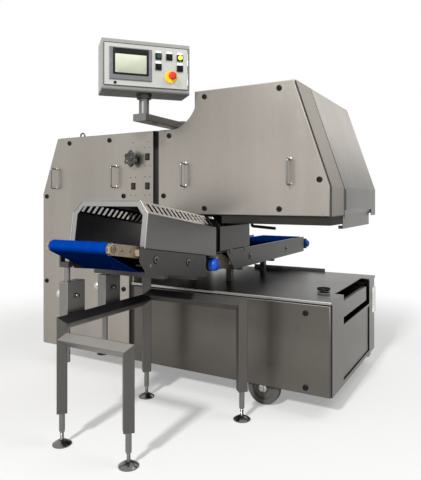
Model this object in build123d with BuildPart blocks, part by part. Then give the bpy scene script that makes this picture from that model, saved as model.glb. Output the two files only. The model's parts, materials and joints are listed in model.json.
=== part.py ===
"""Dough divider: drive cabinet, dividing head over a base, belt conveyors, stand and control box.

Millimetres, +Z up, floor at Z = 0, X along the machine's long side, Y from front to back.
The origin is on the floor, under the middle of the whole machine's box.
"""
import os
from math import cos, hypot, radians, sin

from build123d import *

# Overall machine
machine_length = 1750.0
machine_depth = 895.0
base_bottom = 94.0
base_height = 417.0
throat_height = 364.0
shoulder_height = 437.0
head_rise = 178.0
cabinet_width_low = 672.0
cabinet_width_high = 830.5
cabinet_slope_width = 122.0
cabinet_slope_height = 324.0
head_slope_width = 164.0
head_end_height = 134.0
head_step_inset = 231.0
head_step_height = 94.0
shoulder_length = 122.0

# Sheet metal
wall = 3.0
panel_depth = 20.0
panel_sheet = 2.0
panel_gap = 34.0
edge_gap = 4.0
lip = 26.0
fit_gap = 0.5
run_gap = 0.05
cut_margin = 1.0

# Stand and far end, measured from the machine's front face
stand_reach = 709.0
stand_inner_reach = 165.0
pad_radius = 37.0
far_reach = 1358.0
roller_radius = 23.0
far_radius = 46.0
belt_sheet = 2.0
belt_gap = 0.3

# Levels and limits worked out from the sizes above
far_belt_radius = far_radius + belt_gap + belt_sheet
front = (stand_reach + pad_radius - far_reach - far_belt_radius) / 2
back = front + machine_depth
x_left = -machine_length / 2
x_right = machine_length / 2
base_top = base_bottom + base_height
head_bottom = base_top + throat_height
shoulder = head_bottom + shoulder_height
head_top = shoulder + head_rise
low_joint_x = x_left + cabinet_width_low
high_joint_x = x_left + cabinet_width_high
frame_front = front + panel_depth
frame_back = back - panel_depth
middle_y = (front + back) / 2

# Base
top_sheet = 4.0
top_rim = 14.0
top_hole_radius = 30.0
top_hole_inset_x = 102.0
top_hole_inset_y = 229.0
slot_length = 60.0
slot_width = 8.0
slot_inset_x = 56.0
slot_inset_y = 68.0
back_upstand_height = 18.0
back_upstand_inset = 296.0
drawer_inset_front = 209.0
drawer_inset_back = 200.0
drawer_height = 75.0
drawer_length = 430.0
drawer_drop = 36.0
drawer_recess = 6.0
drawer_slot = 27.0
drawer_side_gap = 4.0
drawer_back_gap = 55.0
end_panel_lip = 12.0
end_panel_margin = 19.0
end_panel_inset = 6.0
rail_width = 36.0
rail_leg = 12.0
grip_notch_depth = 46.0
corner_stop_height = 40.0
corner_stop_width = 60.0
corner_stop_inset = 20.0

# Head keel, end cover and its grip
keel_height = 37.0
keel_gap = 30.0
cover_drop = 12.0
cover_overhang = 20.0
strip_width = 219.0
cover_gap = 12.0
grip_sheet = 3.0
grip_inset_front = 20.0
grip_width = 555.0
grip_top_drop = 8.0
grip_bend_height = 22.0
grip_bend_inset = 16.0
grip_reach = 62.0
hinge_pin_radius = 5.0
hinge_barrel_radius = 10.0
hinge_barrel_length = 70.0
hinge_inset_x = 16.0
hinge_drop = 14.0
lip_overhang = 2.0
lip_play = 8.0

# Front fittings
lock_radius = 11.0
lock_height = 6.0
lock_edge = 34.0
lock_top_drop = 35.0
lock_waist_lift = 96.0
lock_base_drop = 42.0
lock_slope_gap = 97.0
lock_joint_inset_top = 153.0
lock_joint_inset = 54.0
lock_head_gap = 61.0
lock_head_end_gap = 70.0
lock_step_gap = 83.0
lock_waist_gap = 49.0
lock_knee_inset = 48.0
lock_knee_lift = 30.0
lock_base_end = 114.0
lock_base_joint = 92.0
lock_base_top = 58.0
lock_base_low = 32.0
handle_length = 124.0
handle_reach = 38.0
handle_rod_radius = 5.5
handle_level = 1076.0
handle_edge_inset = 110.0
handle_step_inset = 52.0
handle_end_inset = 182.0
eye_plate = 12.0
eye_radius = 24.0
eye_hole_radius = 14.0
eye_lift = 14.0
eye_inset = 262.0
eye_setback = 62.0
handwheel_radius = 32.0
handwheel_lobe_radius = 10.0
handwheel_lobes = 6
handwheel_thickness = 20.0
handwheel_stand_off = 22.0
handwheel_shaft_radius = 8.0
handwheel_inset = 137.5
handwheel_level = 1168.0
gauge_width = 26.0
gauge_height = 36.0
gauge_depth = 5.0
gauge_inset = 54.0
gauge_lift = 8.0
gauge_drop = 145.0
gauge_spacing = 92.5

# Wheels and machine feet
wheel_radius = 78.0
wheel_width = 36.0
wheel_inset_x = 327.0
wheel_inset_y = 24.0
axle_radius = 12.0
axle_block = 44.0
wheel_play = 5.0
foot_inset_x = 250.0
foot_inset_y = 250.0
foot_pad_height = 14.0
foot_stem_radius = 9.0

# Control arm and box
arm_width = 77.0
arm_height = 35.0
arm_wall = 4.0
arm_front_reach = 183.0
arm_back_reach = 250.0
arm_x_offset = 35.0
arm_pivot_reach = 200.0
pivot_flange_radius = 55.0
pivot_flange = 12.0
pivot_pin_radius = 15.0
pivot_lift = 20.0
post_reach = 146.0
post_radius = 25.0
post_length = 74.0
collar_radius = 34.0
collar_height = 20.0
box_width = 424.0
box_height = 243.0
box_depth = 145.0
box_yaw = 48.0
box_sheet = 2.0
box_rim = 13.0
box_rim_low = 27.0
box_rim_high = 22.0
door_sheet = 2.0
door_depth = 5.5
door_hinge_radius = 3.0
door_hinge_length = 30.0
hinge_leaf_half = 1.0
display_width = 200.0
display_depth = 8.0
display_margin = 22.0
display_margin_low = 24.5
display_margin_high = 17.5
button_pitch_x = 53.0
button_row_drop = 44.5
button_row_pitch = 51.0
button_margin = 37.4
button_holder = 30.0
button_holder_depth = 7.0
button_radius = 11.0
button_proud = 7.0
button_travel = 4.0
selector_rise = 2.0
stop_shift = 9.0
stop_drop = 44.0
stop_radius = 20.0
stop_stem_radius = 11.0
stop_collar_radius = 30.0
stop_collar_depth = 8.0
stop_height = 26.0
key_margin_x = 49.0
key_gap = 7.0
key_radius = 7.0
key_stem_radius = 5.0

# Conveyors
conveyor_width = 391.0
conveyor_offset_x = 151.5
plate_sheet = 4.0
belt_width = 286.0
roller_overhang = 2.0
arm_gap = 1.0
cap_proud = 20.0
tail_cap_radius = 31.0
far_cap_radius = 44.0
axle_end_radius = 6.0
outfeed_slope = 0.15
outfeed_front_reach = 583.0
outfeed_back_reach = 80.0
outfeed_front_level = 665.0
outfeed_plate_height = 107.0
outfeed_corner_cut = 48.0
nose_reach = 697.0
nose_level = 768.0
tail_setback = 7.0
tail_level = 636.0
drum_reach = 515.0
drum_level = 690.0
drum_radius = 28.0
bed_sheet = 3.0
bed_front_setback = 155.0
bed_back_setback = 130.0
transfer_bed_setback = 100.0
hood_height = 190.0
hood_setback = 27.0
hood_back_setback = 15.0
hood_overlap = 6.0
hood_sheet = 2.0
hood_chamfer_width = 43.0
hood_chamfer_height = 50.0
hood_rim = 24.0
vent_count = 15
vent_width = 16.0
vent_margin = 7.0
transfer_start = 136.0
transfer_end = 1300.0
transfer_low = 588.0
transfer_high = 690.0
transfer_cut_length = 82.0
transfer_cut_height = 88.0
near_roller_setback = 90.0
transfer_axis_level = 660.0
guard_start = 53.0
guard_end = 392.0
guard_gap_top = 7.0
guard_proud = 4.0
guard_lift = 8.0
guard_outlet_margin = 28.0
guard_foot_inset = 40.0
guard_foot_width = 30.0
seal_inset = 6.0
seal_lap = 10.0
seal_tail = 45.0
arm_sheet = 16.0
nose_arm_half = 22.0
nose_seat_drop = 70.0
hanger_sheet = 8.0
cross_bar = 24.0
cross_bar_height = 22.0
cross_bar_sink = 8.0
post_bar = 30.0

# Stand
tube = 40.0
tube_wall = 2.5
stand_offset = 109.0
stand_bench_width = 328.0
stand_portal_width = 511.0
bench_level = 411.0
cross_rail_level = 471.0
portal_level = 497.0
tube_bottom = 125.0
sleeve_radius = 11.5
sleeve_bottom = 56.0
thread_radius = 6.0
pad_height = 18.0
clamp_thickness = 48.0
clamp_depth = 100.0
clamp_height = 119.0
clamp_front_reach = 653.0
clamp_pitch = 227.0
rod_radius = 12.5
rod_setback = 22.0
rod_drop = 180.0
bolt_radius = 7.0
nut_radius = 20.0

# Dividing mechanism inside the head
drum_axis_level = 985.0
divider_radius = 95.0
divider_shaft_radius = 20.0
piston_count = 4
piston_pitch_share = 0.94
piston_radius_share = 0.39
piston_sink = 22.0
feed_radius = 45.0
feed_flutes = 8
feed_flute_radius = 9.0
feed_spacing = 104.0
feed_axis_level = 1122.0
feed_shaft_radius = 14.0
cheek_sheet = 10.0
cheek_half_depth = 150.0
cheek_gap = 2.0
cheek_wall_gap = 3.5
gear_case_width = 46.0
gear_case_half_depth = 135.0
gear_case_lift = 4.0
shaft_socket_depth = 30.0
hopper_left = 18.0
hopper_right = 293.0
hopper_half_depth = 150.0
hopper_drop = 105.0
hopper_outlet_gap = 8.0
hopper_flange = 22.0
motor_box_width = 160.0
motor_box_height = 190.0
motor_box_depth = 200.0
motor_radius = 80.0
motor_length = 260.0


# Helpers
def block(x0, x1, y0, y1, z0, z1, mode=Mode.ADD):
    """A box between two corners."""
    with Locations(((x0 + x1) / 2, (y0 + y1) / 2, (z0 + z1) / 2)):
        Box(x1 - x0, y1 - y0, z1 - z0, mode=mode)


def rod_x(x0, x1, y, z, radius, mode=Mode.ADD):
    """A round bar along X."""
    with Locations(Location(((x0 + x1) / 2, y, z), (0, 90, 0))):
        Cylinder(radius, x1 - x0, mode=mode)


def rod_y(x, y0, y1, z, radius, mode=Mode.ADD):
    """A round bar along Y."""
    with Locations(Location((x, (y0 + y1) / 2, z), (90, 0, 0))):
        Cylinder(radius, y1 - y0, mode=mode)


def rod_z(x, y, z0, z1, radius, mode=Mode.ADD):
    """A round bar along Z."""
    with Locations((x, y, (z0 + z1) / 2)):
        Cylinder(radius, z1 - z0, mode=mode)


def shape_xz(points, y0, y1, mode=Mode.ADD):
    """A prism whose outline is drawn in the front view."""
    with BuildSketch(Plane.XZ.offset(-y1)) as profile:
        Polygon(*points, align=None)
    extrude(profile.sketch, amount=y1 - y0, mode=mode)


def shape_yz(points, x0, x1, mode=Mode.ADD):
    """A prism whose outline is drawn in the side view."""
    with BuildSketch(Plane.YZ.offset(x0)) as profile:
        Polygon(*points, align=None)
    extrude(profile.sketch, amount=x1 - x0, mode=mode)


def sheet_strip(points, thickness):
    """The outline of a bent sheet: a path and the same path set over to its left by the thickness."""
    normals = []
    for (ax, ay), (bx, by) in zip(points, points[1:]):
        run = hypot(bx - ax, by - ay)
        normals.append((-(by - ay) / run, (bx - ax) / run))
    inner = []
    for index, (px, py) in enumerate(points):
        nx0, ny0 = normals[max(index - 1, 0)]
        nx1, ny1 = normals[min(index, len(normals) - 1)]
        scale = thickness / (1 + nx0 * nx1 + ny0 * ny1)
        inner.append((px + (nx0 + nx1) * scale, py + (ny0 + ny1) * scale))
    return list(points) + inner[::-1]


def tray(outline, inset, rear=False):
    """A removable panel: a flat sheet with its edges folded back towards the frame."""
    near, far = (frame_back, back) if rear else (front, frame_front)
    hollow_near, hollow_far = (near, far - panel_sheet) if rear else (near + panel_sheet, far)
    side_gap = panel_gap / 2 - inset
    with BuildSketch(Plane.XZ.offset(-far)) as profile:
        outline(inset, side_gap)
    extrude(profile.sketch, amount=far - near)
    with BuildSketch(Plane.XZ.offset(-hollow_far)) as profile:
        outline(inset + panel_sheet, side_gap)
    extrude(profile.sketch, amount=hollow_far - hollow_near, mode=Mode.SUBTRACT)


# Outlines in the front view, drawn smaller by an inset; the side gap moves the edges at the joints
head_end_x = x_right - grip_sheet
head_knee = head_bottom + head_end_height
head_top_right = head_end_x - head_slope_width
head_top_left = high_joint_x + head_step_inset
shoulder_end = high_joint_x + shoulder_length
step_bend = (
    shoulder_end + 0.5 * (head_top_left - shoulder_end),
    shoulder + 0.3 * head_step_height,
)


def cabinet_outline(inset, side_gap=0):
    """The tower with its sloped top corner, wide above and narrow below the head."""
    Polygon(
        (x_left, base_bottom),
        (low_joint_x - side_gap, base_bottom),
        (low_joint_x - side_gap, head_bottom),
        (high_joint_x - side_gap, head_bottom),
        (high_joint_x - side_gap, shoulder),
        (x_left + cabinet_slope_width, shoulder),
        (x_left, shoulder - cabinet_slope_height),
        align=None,
    )
    if inset:
        offset(amount=-inset, kind=Kind.INTERSECTION)


def head_outline(inset, side_gap=0):
    """The head with its curved step on the left and its sloped end on the right."""
    with BuildLine() as edge:
        Polyline(
            (shoulder_end, shoulder),
            (high_joint_x + side_gap, shoulder),
            (high_joint_x + side_gap, head_bottom),
            (head_end_x, head_bottom),
            (head_end_x, head_knee),
            (head_top_right, head_top),
            (head_top_left, head_top),
            (head_top_left, shoulder + head_step_height),
        )
        ThreePointArc((head_top_left, shoulder + head_step_height), step_bend, (shoulder_end, shoulder))
    make_face(edge.edges())
    if inset:
        offset(amount=-inset, kind=Kind.INTERSECTION)


def base_outline(inset, side_gap=0):
    """The base below its top plate."""
    Polygon(
        (low_joint_x + side_gap, base_bottom),
        (x_right, base_bottom),
        (x_right, base_top - top_rim),
        (low_joint_x + side_gap, base_top - top_rim),
        align=None,
    )
    if inset:
        offset(amount=-inset, kind=Kind.INTERSECTION)


def ring(outline, inner, y0, y1):
    """A band of a housing: its outline less the same outline drawn smaller."""
    with BuildSketch(Plane.XZ.offset(-y1)) as profile:
        outline(0)
    extrude(profile.sketch, amount=y1 - y0)
    with BuildSketch(Plane.XZ.offset(-y1)) as profile:
        outline(inner)
    extrude(profile.sketch, amount=y1 - y0, mode=Mode.SUBTRACT)


def shaft_holes():
    """The holes for the drum's and the feed rollers' shafts through the walls between cabinet and head."""
    shafts = [(drum_place, divider_shaft_radius)]
    for feed_axis in feed_axes:
        shafts.append((feed_axis, feed_shaft_radius))
    for (axis_y, axis_z), radius in shafts:
        rod_x(high_joint_x - 2 * wall, high_joint_x + 2 * wall, axis_y, axis_z, radius + fit_gap,
              mode=Mode.SUBTRACT)


# Places shared by the cabinet, the head and the conveyors
belt_x = high_joint_x + conveyor_offset_x
drum_place = (middle_y, drum_axis_level)
feed_axes = [(middle_y - feed_spacing / 2, feed_axis_level), (middle_y + feed_spacing / 2, feed_axis_level)]
cheek_left = high_joint_x + wall + cheek_wall_gap
divider_length = 2 * (belt_x - cheek_left - cheek_sheet - cheek_gap)
cheek_inner = divider_length / 2 + cheek_gap

# Drive cabinet
with BuildPart() as cabinet_shell:
    ring(cabinet_outline, lip, frame_front, frame_front + wall)
    ring(cabinet_outline, wall, frame_front + wall, frame_back - wall)
    ring(cabinet_outline, lip, frame_back - wall, frame_back)
    shaft_holes()

handwheel_position = (high_joint_x - handwheel_inset, handwheel_level)
gauge_column_x = high_joint_x - gauge_inset
gauge_positions = [
    (gauge_column_x, handwheel_level + gauge_lift),
    (gauge_column_x - gauge_spacing, handwheel_level - gauge_drop),
    (gauge_column_x, handwheel_level - gauge_drop),
]

with BuildPart() as cabinet_front_panel:
    tray(cabinet_outline, edge_gap)
    rod_y(handwheel_position[0], front - cut_margin, front + panel_depth, handwheel_position[1],
          handwheel_shaft_radius + run_gap, mode=Mode.SUBTRACT)

with BuildPart() as handwheel:
    wheel_face = front - handwheel_stand_off
    rod_y(handwheel_position[0], wheel_face - handwheel_thickness, wheel_face, handwheel_position[1],
          handwheel_radius)
    with BuildSketch(Plane.XZ.offset(-wheel_face)):
        with Locations((handwheel_position[0], handwheel_position[1])):
            with PolarLocations(handwheel_radius, handwheel_lobes):
                Circle(handwheel_lobe_radius)
    extrude(amount=handwheel_thickness)
    rod_y(handwheel_position[0], wheel_face, front + panel_depth, handwheel_position[1],
          handwheel_shaft_radius)
    rod_y(handwheel_position[0], wheel_face, front - 2 * fit_gap, handwheel_position[1],
          2 * handwheel_shaft_radius)

with BuildPart() as setting_gauges:
    for gauge_x, gauge_z in gauge_positions:
        block(gauge_x - gauge_width / 2, gauge_x + gauge_width / 2, front - gauge_depth, front,
              gauge_z - gauge_height / 2, gauge_z + gauge_height / 2)
    chamfer(setting_gauges.faces().filter_by(Axis.Y).group_by(Axis.Y)[0].edges(), gauge_depth / 3)

with BuildPart() as lifting_eye:
    eye_x = x_left + eye_inset
    eye_y = front + eye_setback
    eye_level = shoulder + eye_lift + eye_radius
    with BuildSketch(Plane.XZ.offset(-(eye_y + eye_plate / 2))):
        with Locations((eye_x, eye_level)):
            Circle(eye_radius)
        with Locations((eye_x, (shoulder + eye_level) / 2)):
            Rectangle(1.5 * eye_radius, eye_level - shoulder)
        with Locations((eye_x, eye_level)):
            Circle(eye_hole_radius, mode=Mode.SUBTRACT)
    extrude(amount=eye_plate)

# Base
drawer_front_y = front + drawer_inset_front
drawer_back_y = back - drawer_inset_back
drawer_top = base_top - drawer_drop
drawer_low = drawer_top - drawer_height
window_low = drawer_low - drawer_slot
window_front_y = drawer_front_y - drawer_side_gap
window_back_y = drawer_back_y + drawer_back_gap
wheel_x = x_right - wheel_inset_x
front_wheel_y = front + wheel_inset_y + wheel_width / 2
rear_wheel_y = back - wheel_inset_y - wheel_width / 2

with BuildPart() as base_frame:
    ring(base_outline, lip, frame_front, frame_front + wall)
    ring(base_outline, wall, frame_front + wall, frame_back - wall)
    ring(base_outline, lip, frame_back - wall, frame_back)
    block(x_right - 2 * wall, x_right + wall, window_front_y, window_back_y, window_low, base_top,
          mode=Mode.SUBTRACT)
    block(x_right - wall, x_right + wall, window_front_y, window_back_y, base_bottom + end_panel_margin,
          window_low - end_panel_lip, mode=Mode.SUBTRACT)
    block(x_right - end_panel_inset - wall, x_right - end_panel_inset, window_front_y - end_panel_margin,
          window_back_y + end_panel_margin, base_bottom + wall, window_low)
    block(low_joint_x + wall, x_right - wall, frame_front + wall, frame_back - wall,
          base_top - top_rim - wall, base_top - top_rim, mode=Mode.SUBTRACT)
    for corner_y in (frame_front + wall, frame_back - wall - tube):
        block(x_right - wall - tube, x_right - wall, corner_y, corner_y + tube, base_bottom + wall,
              base_top - top_rim)
    rail_top = drawer_low - fit_gap
    for edge_y, side in ((drawer_front_y, 1), (drawer_back_y, -1)):
        rail_outer = edge_y - side * (rail_width - rail_leg)
        rail_inner = edge_y + side * rail_leg
        block(x_right - drawer_length, x_right - wall - tube, min(rail_outer, rail_inner),
              max(rail_outer, rail_inner), rail_top - wall, rail_top)
        block(x_right - drawer_length, x_right - wall - tube, min(edge_y, rail_inner),
              max(edge_y, rail_inner), base_bottom + wall, rail_top - wall)
    block(x_right - corner_stop_inset - corner_stop_width, x_right - corner_stop_inset,
          back - corner_stop_inset - corner_stop_width, back - corner_stop_inset,
          base_bottom - corner_stop_height, base_bottom)
    for well_y in (front_wheel_y, rear_wheel_y):
        block(wheel_x - wheel_radius - wheel_play, wheel_x + wheel_radius + wheel_play,
              max(well_y - wheel_width / 2 - wheel_play, frame_front + wall),
              min(well_y + wheel_width / 2 + wheel_play, frame_back - wall), base_bottom - cut_margin,
              base_bottom + 2 * wall, mode=Mode.SUBTRACT)

with BuildPart() as base_top_plate:
    block(low_joint_x, x_right, front, back, base_top - top_rim, base_top)
    block(low_joint_x + top_sheet, x_right - top_sheet, front + top_sheet, back - top_sheet,
          base_top - top_rim, base_top - top_sheet, mode=Mode.SUBTRACT)
    rod_z(x_right - top_hole_inset_x, front + top_hole_inset_y, base_top - top_rim, base_top + cut_margin,
          top_hole_radius, mode=Mode.SUBTRACT)
    block(x_right - slot_inset_x - slot_length / 2, x_right - slot_inset_x + slot_length / 2,
          front + slot_inset_y - slot_width / 2, front + slot_inset_y + slot_width / 2,
          base_top - top_rim, base_top + cut_margin, mode=Mode.SUBTRACT)
    block(x_right - grip_notch_depth, x_right + cut_margin, window_front_y, window_back_y,
          base_top - top_rim - cut_margin, base_top + cut_margin, mode=Mode.SUBTRACT)
    block(belt_x, x_right - back_upstand_inset, back - wall, back, base_top, base_top + back_upstand_height)

with BuildPart() as base_front_panel:
    tray(base_outline, edge_gap)

with BuildPart() as crumb_drawer:
    drawer_back_x = x_right - drawer_length
    drawer_face_x = x_right - drawer_recess
    block(drawer_back_x, drawer_face_x, drawer_front_y, drawer_back_y, drawer_low, drawer_top)
    block(drawer_back_x + wall, drawer_face_x - panel_depth, drawer_front_y + wall, drawer_back_y - wall,
          drawer_low + wall, drawer_top + cut_margin, mode=Mode.SUBTRACT)
    block(drawer_face_x - panel_depth + wall, drawer_face_x - wall, drawer_front_y + wall,
          drawer_back_y - wall, drawer_low - cut_margin, drawer_top - wall, mode=Mode.SUBTRACT)


# Dividing head
hinge_x = head_top_right - hinge_inset_x
hinge_z = head_top - hinge_drop
cover_lip_x = hinge_x - hinge_barrel_radius - lip_overhang
cover_front_y = front + strip_width + cover_gap
cover_back_y = back + cover_overhang
cover_low = head_bottom - cover_drop
web_y = front + strip_width
grip_front_y = cover_front_y + grip_inset_front
grip_back_y = grip_front_y + grip_width
grip_bend_top = head_bottom + 1.5 * grip_bend_height
end_cut = 2.5 * grip_bend_inset
hopper_front_y = middle_y - hopper_half_depth
hopper_back_y = middle_y + hopper_half_depth

with BuildPart() as head_shell:
    ring(head_outline, lip, frame_front, frame_front + wall)
    ring(head_outline, wall, frame_front + wall, frame_back - wall)
    ring(head_outline, lip, web_y - wall, web_y)
    ring(head_outline, lip, frame_back - wall, frame_back)
    shape_xz(
        [
            (cover_lip_x - lip_play, head_top + cut_margin),
            (head_end_x + cut_margin, head_top + cut_margin),
            (head_end_x + cut_margin, head_bottom - cut_margin),
            (head_end_x - end_cut, head_bottom - cut_margin),
            (head_end_x - end_cut, head_knee - end_cut),
            (cover_lip_x - lip_play, head_top - 2 * wall),
        ],
        web_y,
        frame_back - wall,
        mode=Mode.SUBTRACT,
    )
    shape_xz(
        [
            (cover_lip_x - lip_play, head_top + cut_margin),
            (head_end_x + cut_margin, head_top + cut_margin),
            (head_end_x + cut_margin, head_bottom - cut_margin),
            (head_end_x - wall - fit_gap, head_bottom - cut_margin),
            (head_end_x - wall - fit_gap, head_knee),
            (head_top_right - wall - fit_gap, head_top - wall - fit_gap),
            (cover_lip_x - lip_play, head_top - wall - fit_gap),
        ],
        frame_back - wall,
        frame_back,
        mode=Mode.SUBTRACT,
    )
    block(head_top_left + hopper_left, head_top_left + hopper_right, hopper_front_y, hopper_back_y,
          head_top - 2 * wall, head_top + cut_margin, mode=Mode.SUBTRACT)
    block(belt_x - divider_length / 2, belt_x + divider_length / 2, middle_y - divider_radius,
          middle_y + divider_radius, head_bottom - cut_margin, head_bottom + 2 * wall, mode=Mode.SUBTRACT)
    shaft_holes()
    rod_y(hinge_x, web_y - wall, frame_back, hinge_z, hinge_pin_radius)
    keel_left = belt_x + conveyor_width / 2 + keel_gap
    keel_right = head_end_x - 2 * wall
    block(keel_left, keel_right, frame_front, web_y, head_bottom - keel_height, head_bottom)
    block(keel_left - cut_margin, keel_right - wall, frame_front + wall, web_y - wall,
          head_bottom - keel_height + wall, head_bottom, mode=Mode.SUBTRACT)

with BuildPart() as head_front_panel:
    tray(head_outline, edge_gap)

with BuildPart() as rear_panels:
    tray(cabinet_outline, edge_gap, rear=True)
    tray(base_outline, edge_gap, rear=True)
    tray(head_outline, edge_gap, rear=True)

with BuildPart() as end_cover:
    shape_xz(
        sheet_strip(
            [
                (head_end_x, cover_low),
                (head_end_x, head_knee),
                (head_top_right, head_top),
                (cover_lip_x, head_top),
            ],
            wall,
        ),
        cover_front_y,
        cover_back_y,
    )
    block(head_end_x - 2 * wall, head_end_x + cut_margin, grip_front_y - fit_gap, grip_back_y + fit_gap,
          cover_low - cut_margin, grip_bend_top, mode=Mode.SUBTRACT)
    block(cover_lip_x - cut_margin, head_top_right - wall, frame_back - 2 * wall, cover_back_y + cut_margin,
          head_top - 2 * wall, head_top + cut_margin, mode=Mode.SUBTRACT)
    barrel_step = (frame_back - cover_front_y - 2 * hinge_barrel_length) / 2
    for barrel_index in range(3):
        barrel_y = cover_front_y + hinge_barrel_length / 2 + barrel_index * barrel_step
        rod_y(hinge_x, barrel_y, barrel_y + hinge_barrel_length, hinge_z, hinge_barrel_radius)
        block(hinge_x, head_top_right + wall / 2, barrel_y, barrel_y + hinge_barrel_length,
              hinge_z - hinge_pin_radius, hinge_z + hinge_pin_radius)
    rod_y(hinge_x, cover_front_y - cut_margin, cover_back_y + cut_margin, hinge_z, hinge_pin_radius + run_gap,
          mode=Mode.SUBTRACT)

with BuildPart() as cover_grip:
    shape_xz(
        sheet_strip(
            [
                (x_right - grip_bend_inset - grip_bend_height, head_bottom - grip_reach),
                (x_right - grip_bend_inset, head_bottom - grip_reach),
                (x_right - grip_bend_inset, grip_bend_top - grip_bend_height - wall),
                (x_right, grip_bend_top - wall),
                (x_right, head_knee - grip_top_drop),
            ],
            grip_sheet,
        ),
        grip_front_y,
        grip_back_y,
    )

# Locks, handles and rear fittings on the removable panels
lock_spots = [
    (x_left + cabinet_slope_width + lock_slope_gap, shoulder - lock_top_drop),
    (low_joint_x - lock_joint_inset_top, shoulder - lock_top_drop),
    (x_left + lock_edge, head_bottom + lock_waist_lift),
    (low_joint_x - lock_joint_inset, head_bottom + lock_waist_lift),
    (x_left + lock_edge, base_top - lock_base_drop),
    (low_joint_x - lock_joint_inset, base_top - lock_base_drop),
    (head_top_left + lock_head_gap, head_top - lock_top_drop),
    (head_top_right - lock_head_end_gap, head_top - lock_top_drop),
    (high_joint_x + lock_step_gap, shoulder - lock_top_drop),
    (high_joint_x + lock_waist_gap, head_bottom + lock_waist_lift),
    (head_top_left + lock_head_gap, head_bottom + lock_edge),
    (head_top_right - lock_head_end_gap, head_bottom + lock_edge),
    (head_end_x - lock_knee_inset, head_knee + lock_knee_lift),
    (x_right - lock_base_end, base_top - lock_base_top),
    (x_right - lock_base_end, base_bottom + lock_base_low),
    (low_joint_x + lock_base_joint, base_top - lock_base_top),
    (low_joint_x + lock_base_joint, base_bottom + lock_base_low),
]
with BuildPart() as panel_locks:
    for lock_x, lock_z in lock_spots:
        rod_y(lock_x, front - lock_height, front, lock_z, lock_radius)

handle_columns = [
    x_left + handle_edge_inset,
    low_joint_x - handle_edge_inset,
    head_top_left - handle_step_inset,
    head_end_x - handle_end_inset,
]
with BuildPart() as panel_handles:
    handle_corner = 2 * handle_rod_radius
    for handle_x in handle_columns:
        with BuildLine():
            FilletPolyline(
                (handle_x, front, handle_level - handle_length / 2 + handle_rod_radius),
                (handle_x, front - handle_reach, handle_level - handle_length / 2 + handle_rod_radius),
                (handle_x, front - handle_reach, handle_level + handle_length / 2 - handle_rod_radius),
                (handle_x, front, handle_level + handle_length / 2 - handle_rod_radius),
                radius=handle_corner,
            )
        with BuildSketch(Plane.XZ.offset(-front)):
            with Locations((handle_x, handle_level - handle_length / 2 + handle_rod_radius)):
                Circle(handle_rod_radius)
        sweep()

# Wheels and levelling feet
with BuildPart() as wheel_axle:
    rod_y(wheel_x, front_wheel_y - wheel_width / 2, rear_wheel_y + wheel_width / 2, wheel_radius, axle_radius)
    for block_y in (front_wheel_y + wheel_width, rear_wheel_y - wheel_width - axle_block):
        block(wheel_x - axle_block, wheel_x + axle_block, block_y, block_y + axle_block,
              wheel_radius - 2 * axle_radius, base_bottom)


def transport_wheel(y):
    """A disc wheel with a rounded tread and a hollowed face."""
    rod_y(wheel_x, y - wheel_width / 2, y + wheel_width / 2, wheel_radius, wheel_radius)
    fillet(faces().filter_by(Axis.Y).edges(), wheel_width / 6)
    dish = wheel_width / 5
    for near, far in ((-wheel_width / 2, dish - wheel_width / 2), (wheel_width / 2 - dish, wheel_width / 2)):
        rod_y(wheel_x, y + near, y + far, wheel_radius, 0.68 * wheel_radius, mode=Mode.SUBTRACT)
        rod_y(wheel_x, y + near, y + far, wheel_radius, 2 * axle_radius)
    rod_y(wheel_x, y - wheel_width, y + wheel_width, wheel_radius, axle_radius + run_gap, mode=Mode.SUBTRACT)


with BuildPart() as front_wheel:
    transport_wheel(front_wheel_y)

with BuildPart() as rear_wheel:
    transport_wheel(rear_wheel_y)

# Control arm
spigot_radius = 0.6 * post_radius
arm_x = high_joint_x + arm_x_offset
arm_low = shoulder + pivot_lift
arm_high = arm_low + arm_height
pivot_y = front + arm_pivot_reach
post_y = front - post_reach
post_top = arm_high + post_length
box_low = post_top + collar_height
box_middle = box_low + box_height / 2

with BuildPart() as arm_pivot:
    rod_z(arm_x, pivot_y, shoulder, shoulder + pivot_flange, pivot_flange_radius)
    rod_z(arm_x, pivot_y, shoulder + pivot_flange, arm_low - fit_gap, 2 * pivot_pin_radius)
    rod_z(arm_x, pivot_y, arm_low - fit_gap, arm_high + fit_gap, pivot_pin_radius)
    rod_z(arm_x, pivot_y, arm_high + fit_gap, arm_high + pivot_flange, 1.5 * pivot_pin_radius)

with BuildPart() as control_arm:
    block(arm_x - arm_width / 2, arm_x + arm_width / 2, front - arm_front_reach, front + arm_back_reach,
          arm_low, arm_high)
    fillet(control_arm.edges().filter_by(Axis.Y), arm_wall)
    block(arm_x - arm_width / 2 + arm_wall, arm_x + arm_width / 2 - arm_wall,
          front - arm_front_reach + arm_wall, front + arm_back_reach - arm_wall, arm_low + arm_wall,
          arm_high - arm_wall, mode=Mode.SUBTRACT)
    rod_z(arm_x, pivot_y, arm_low - cut_margin, arm_high + cut_margin, pivot_pin_radius + run_gap,
          mode=Mode.SUBTRACT)
    rod_z(arm_x, post_y, arm_high, post_top, post_radius)
    rod_z(arm_x, post_y, post_top, post_top + 0.8 * collar_height, spigot_radius)


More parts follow.
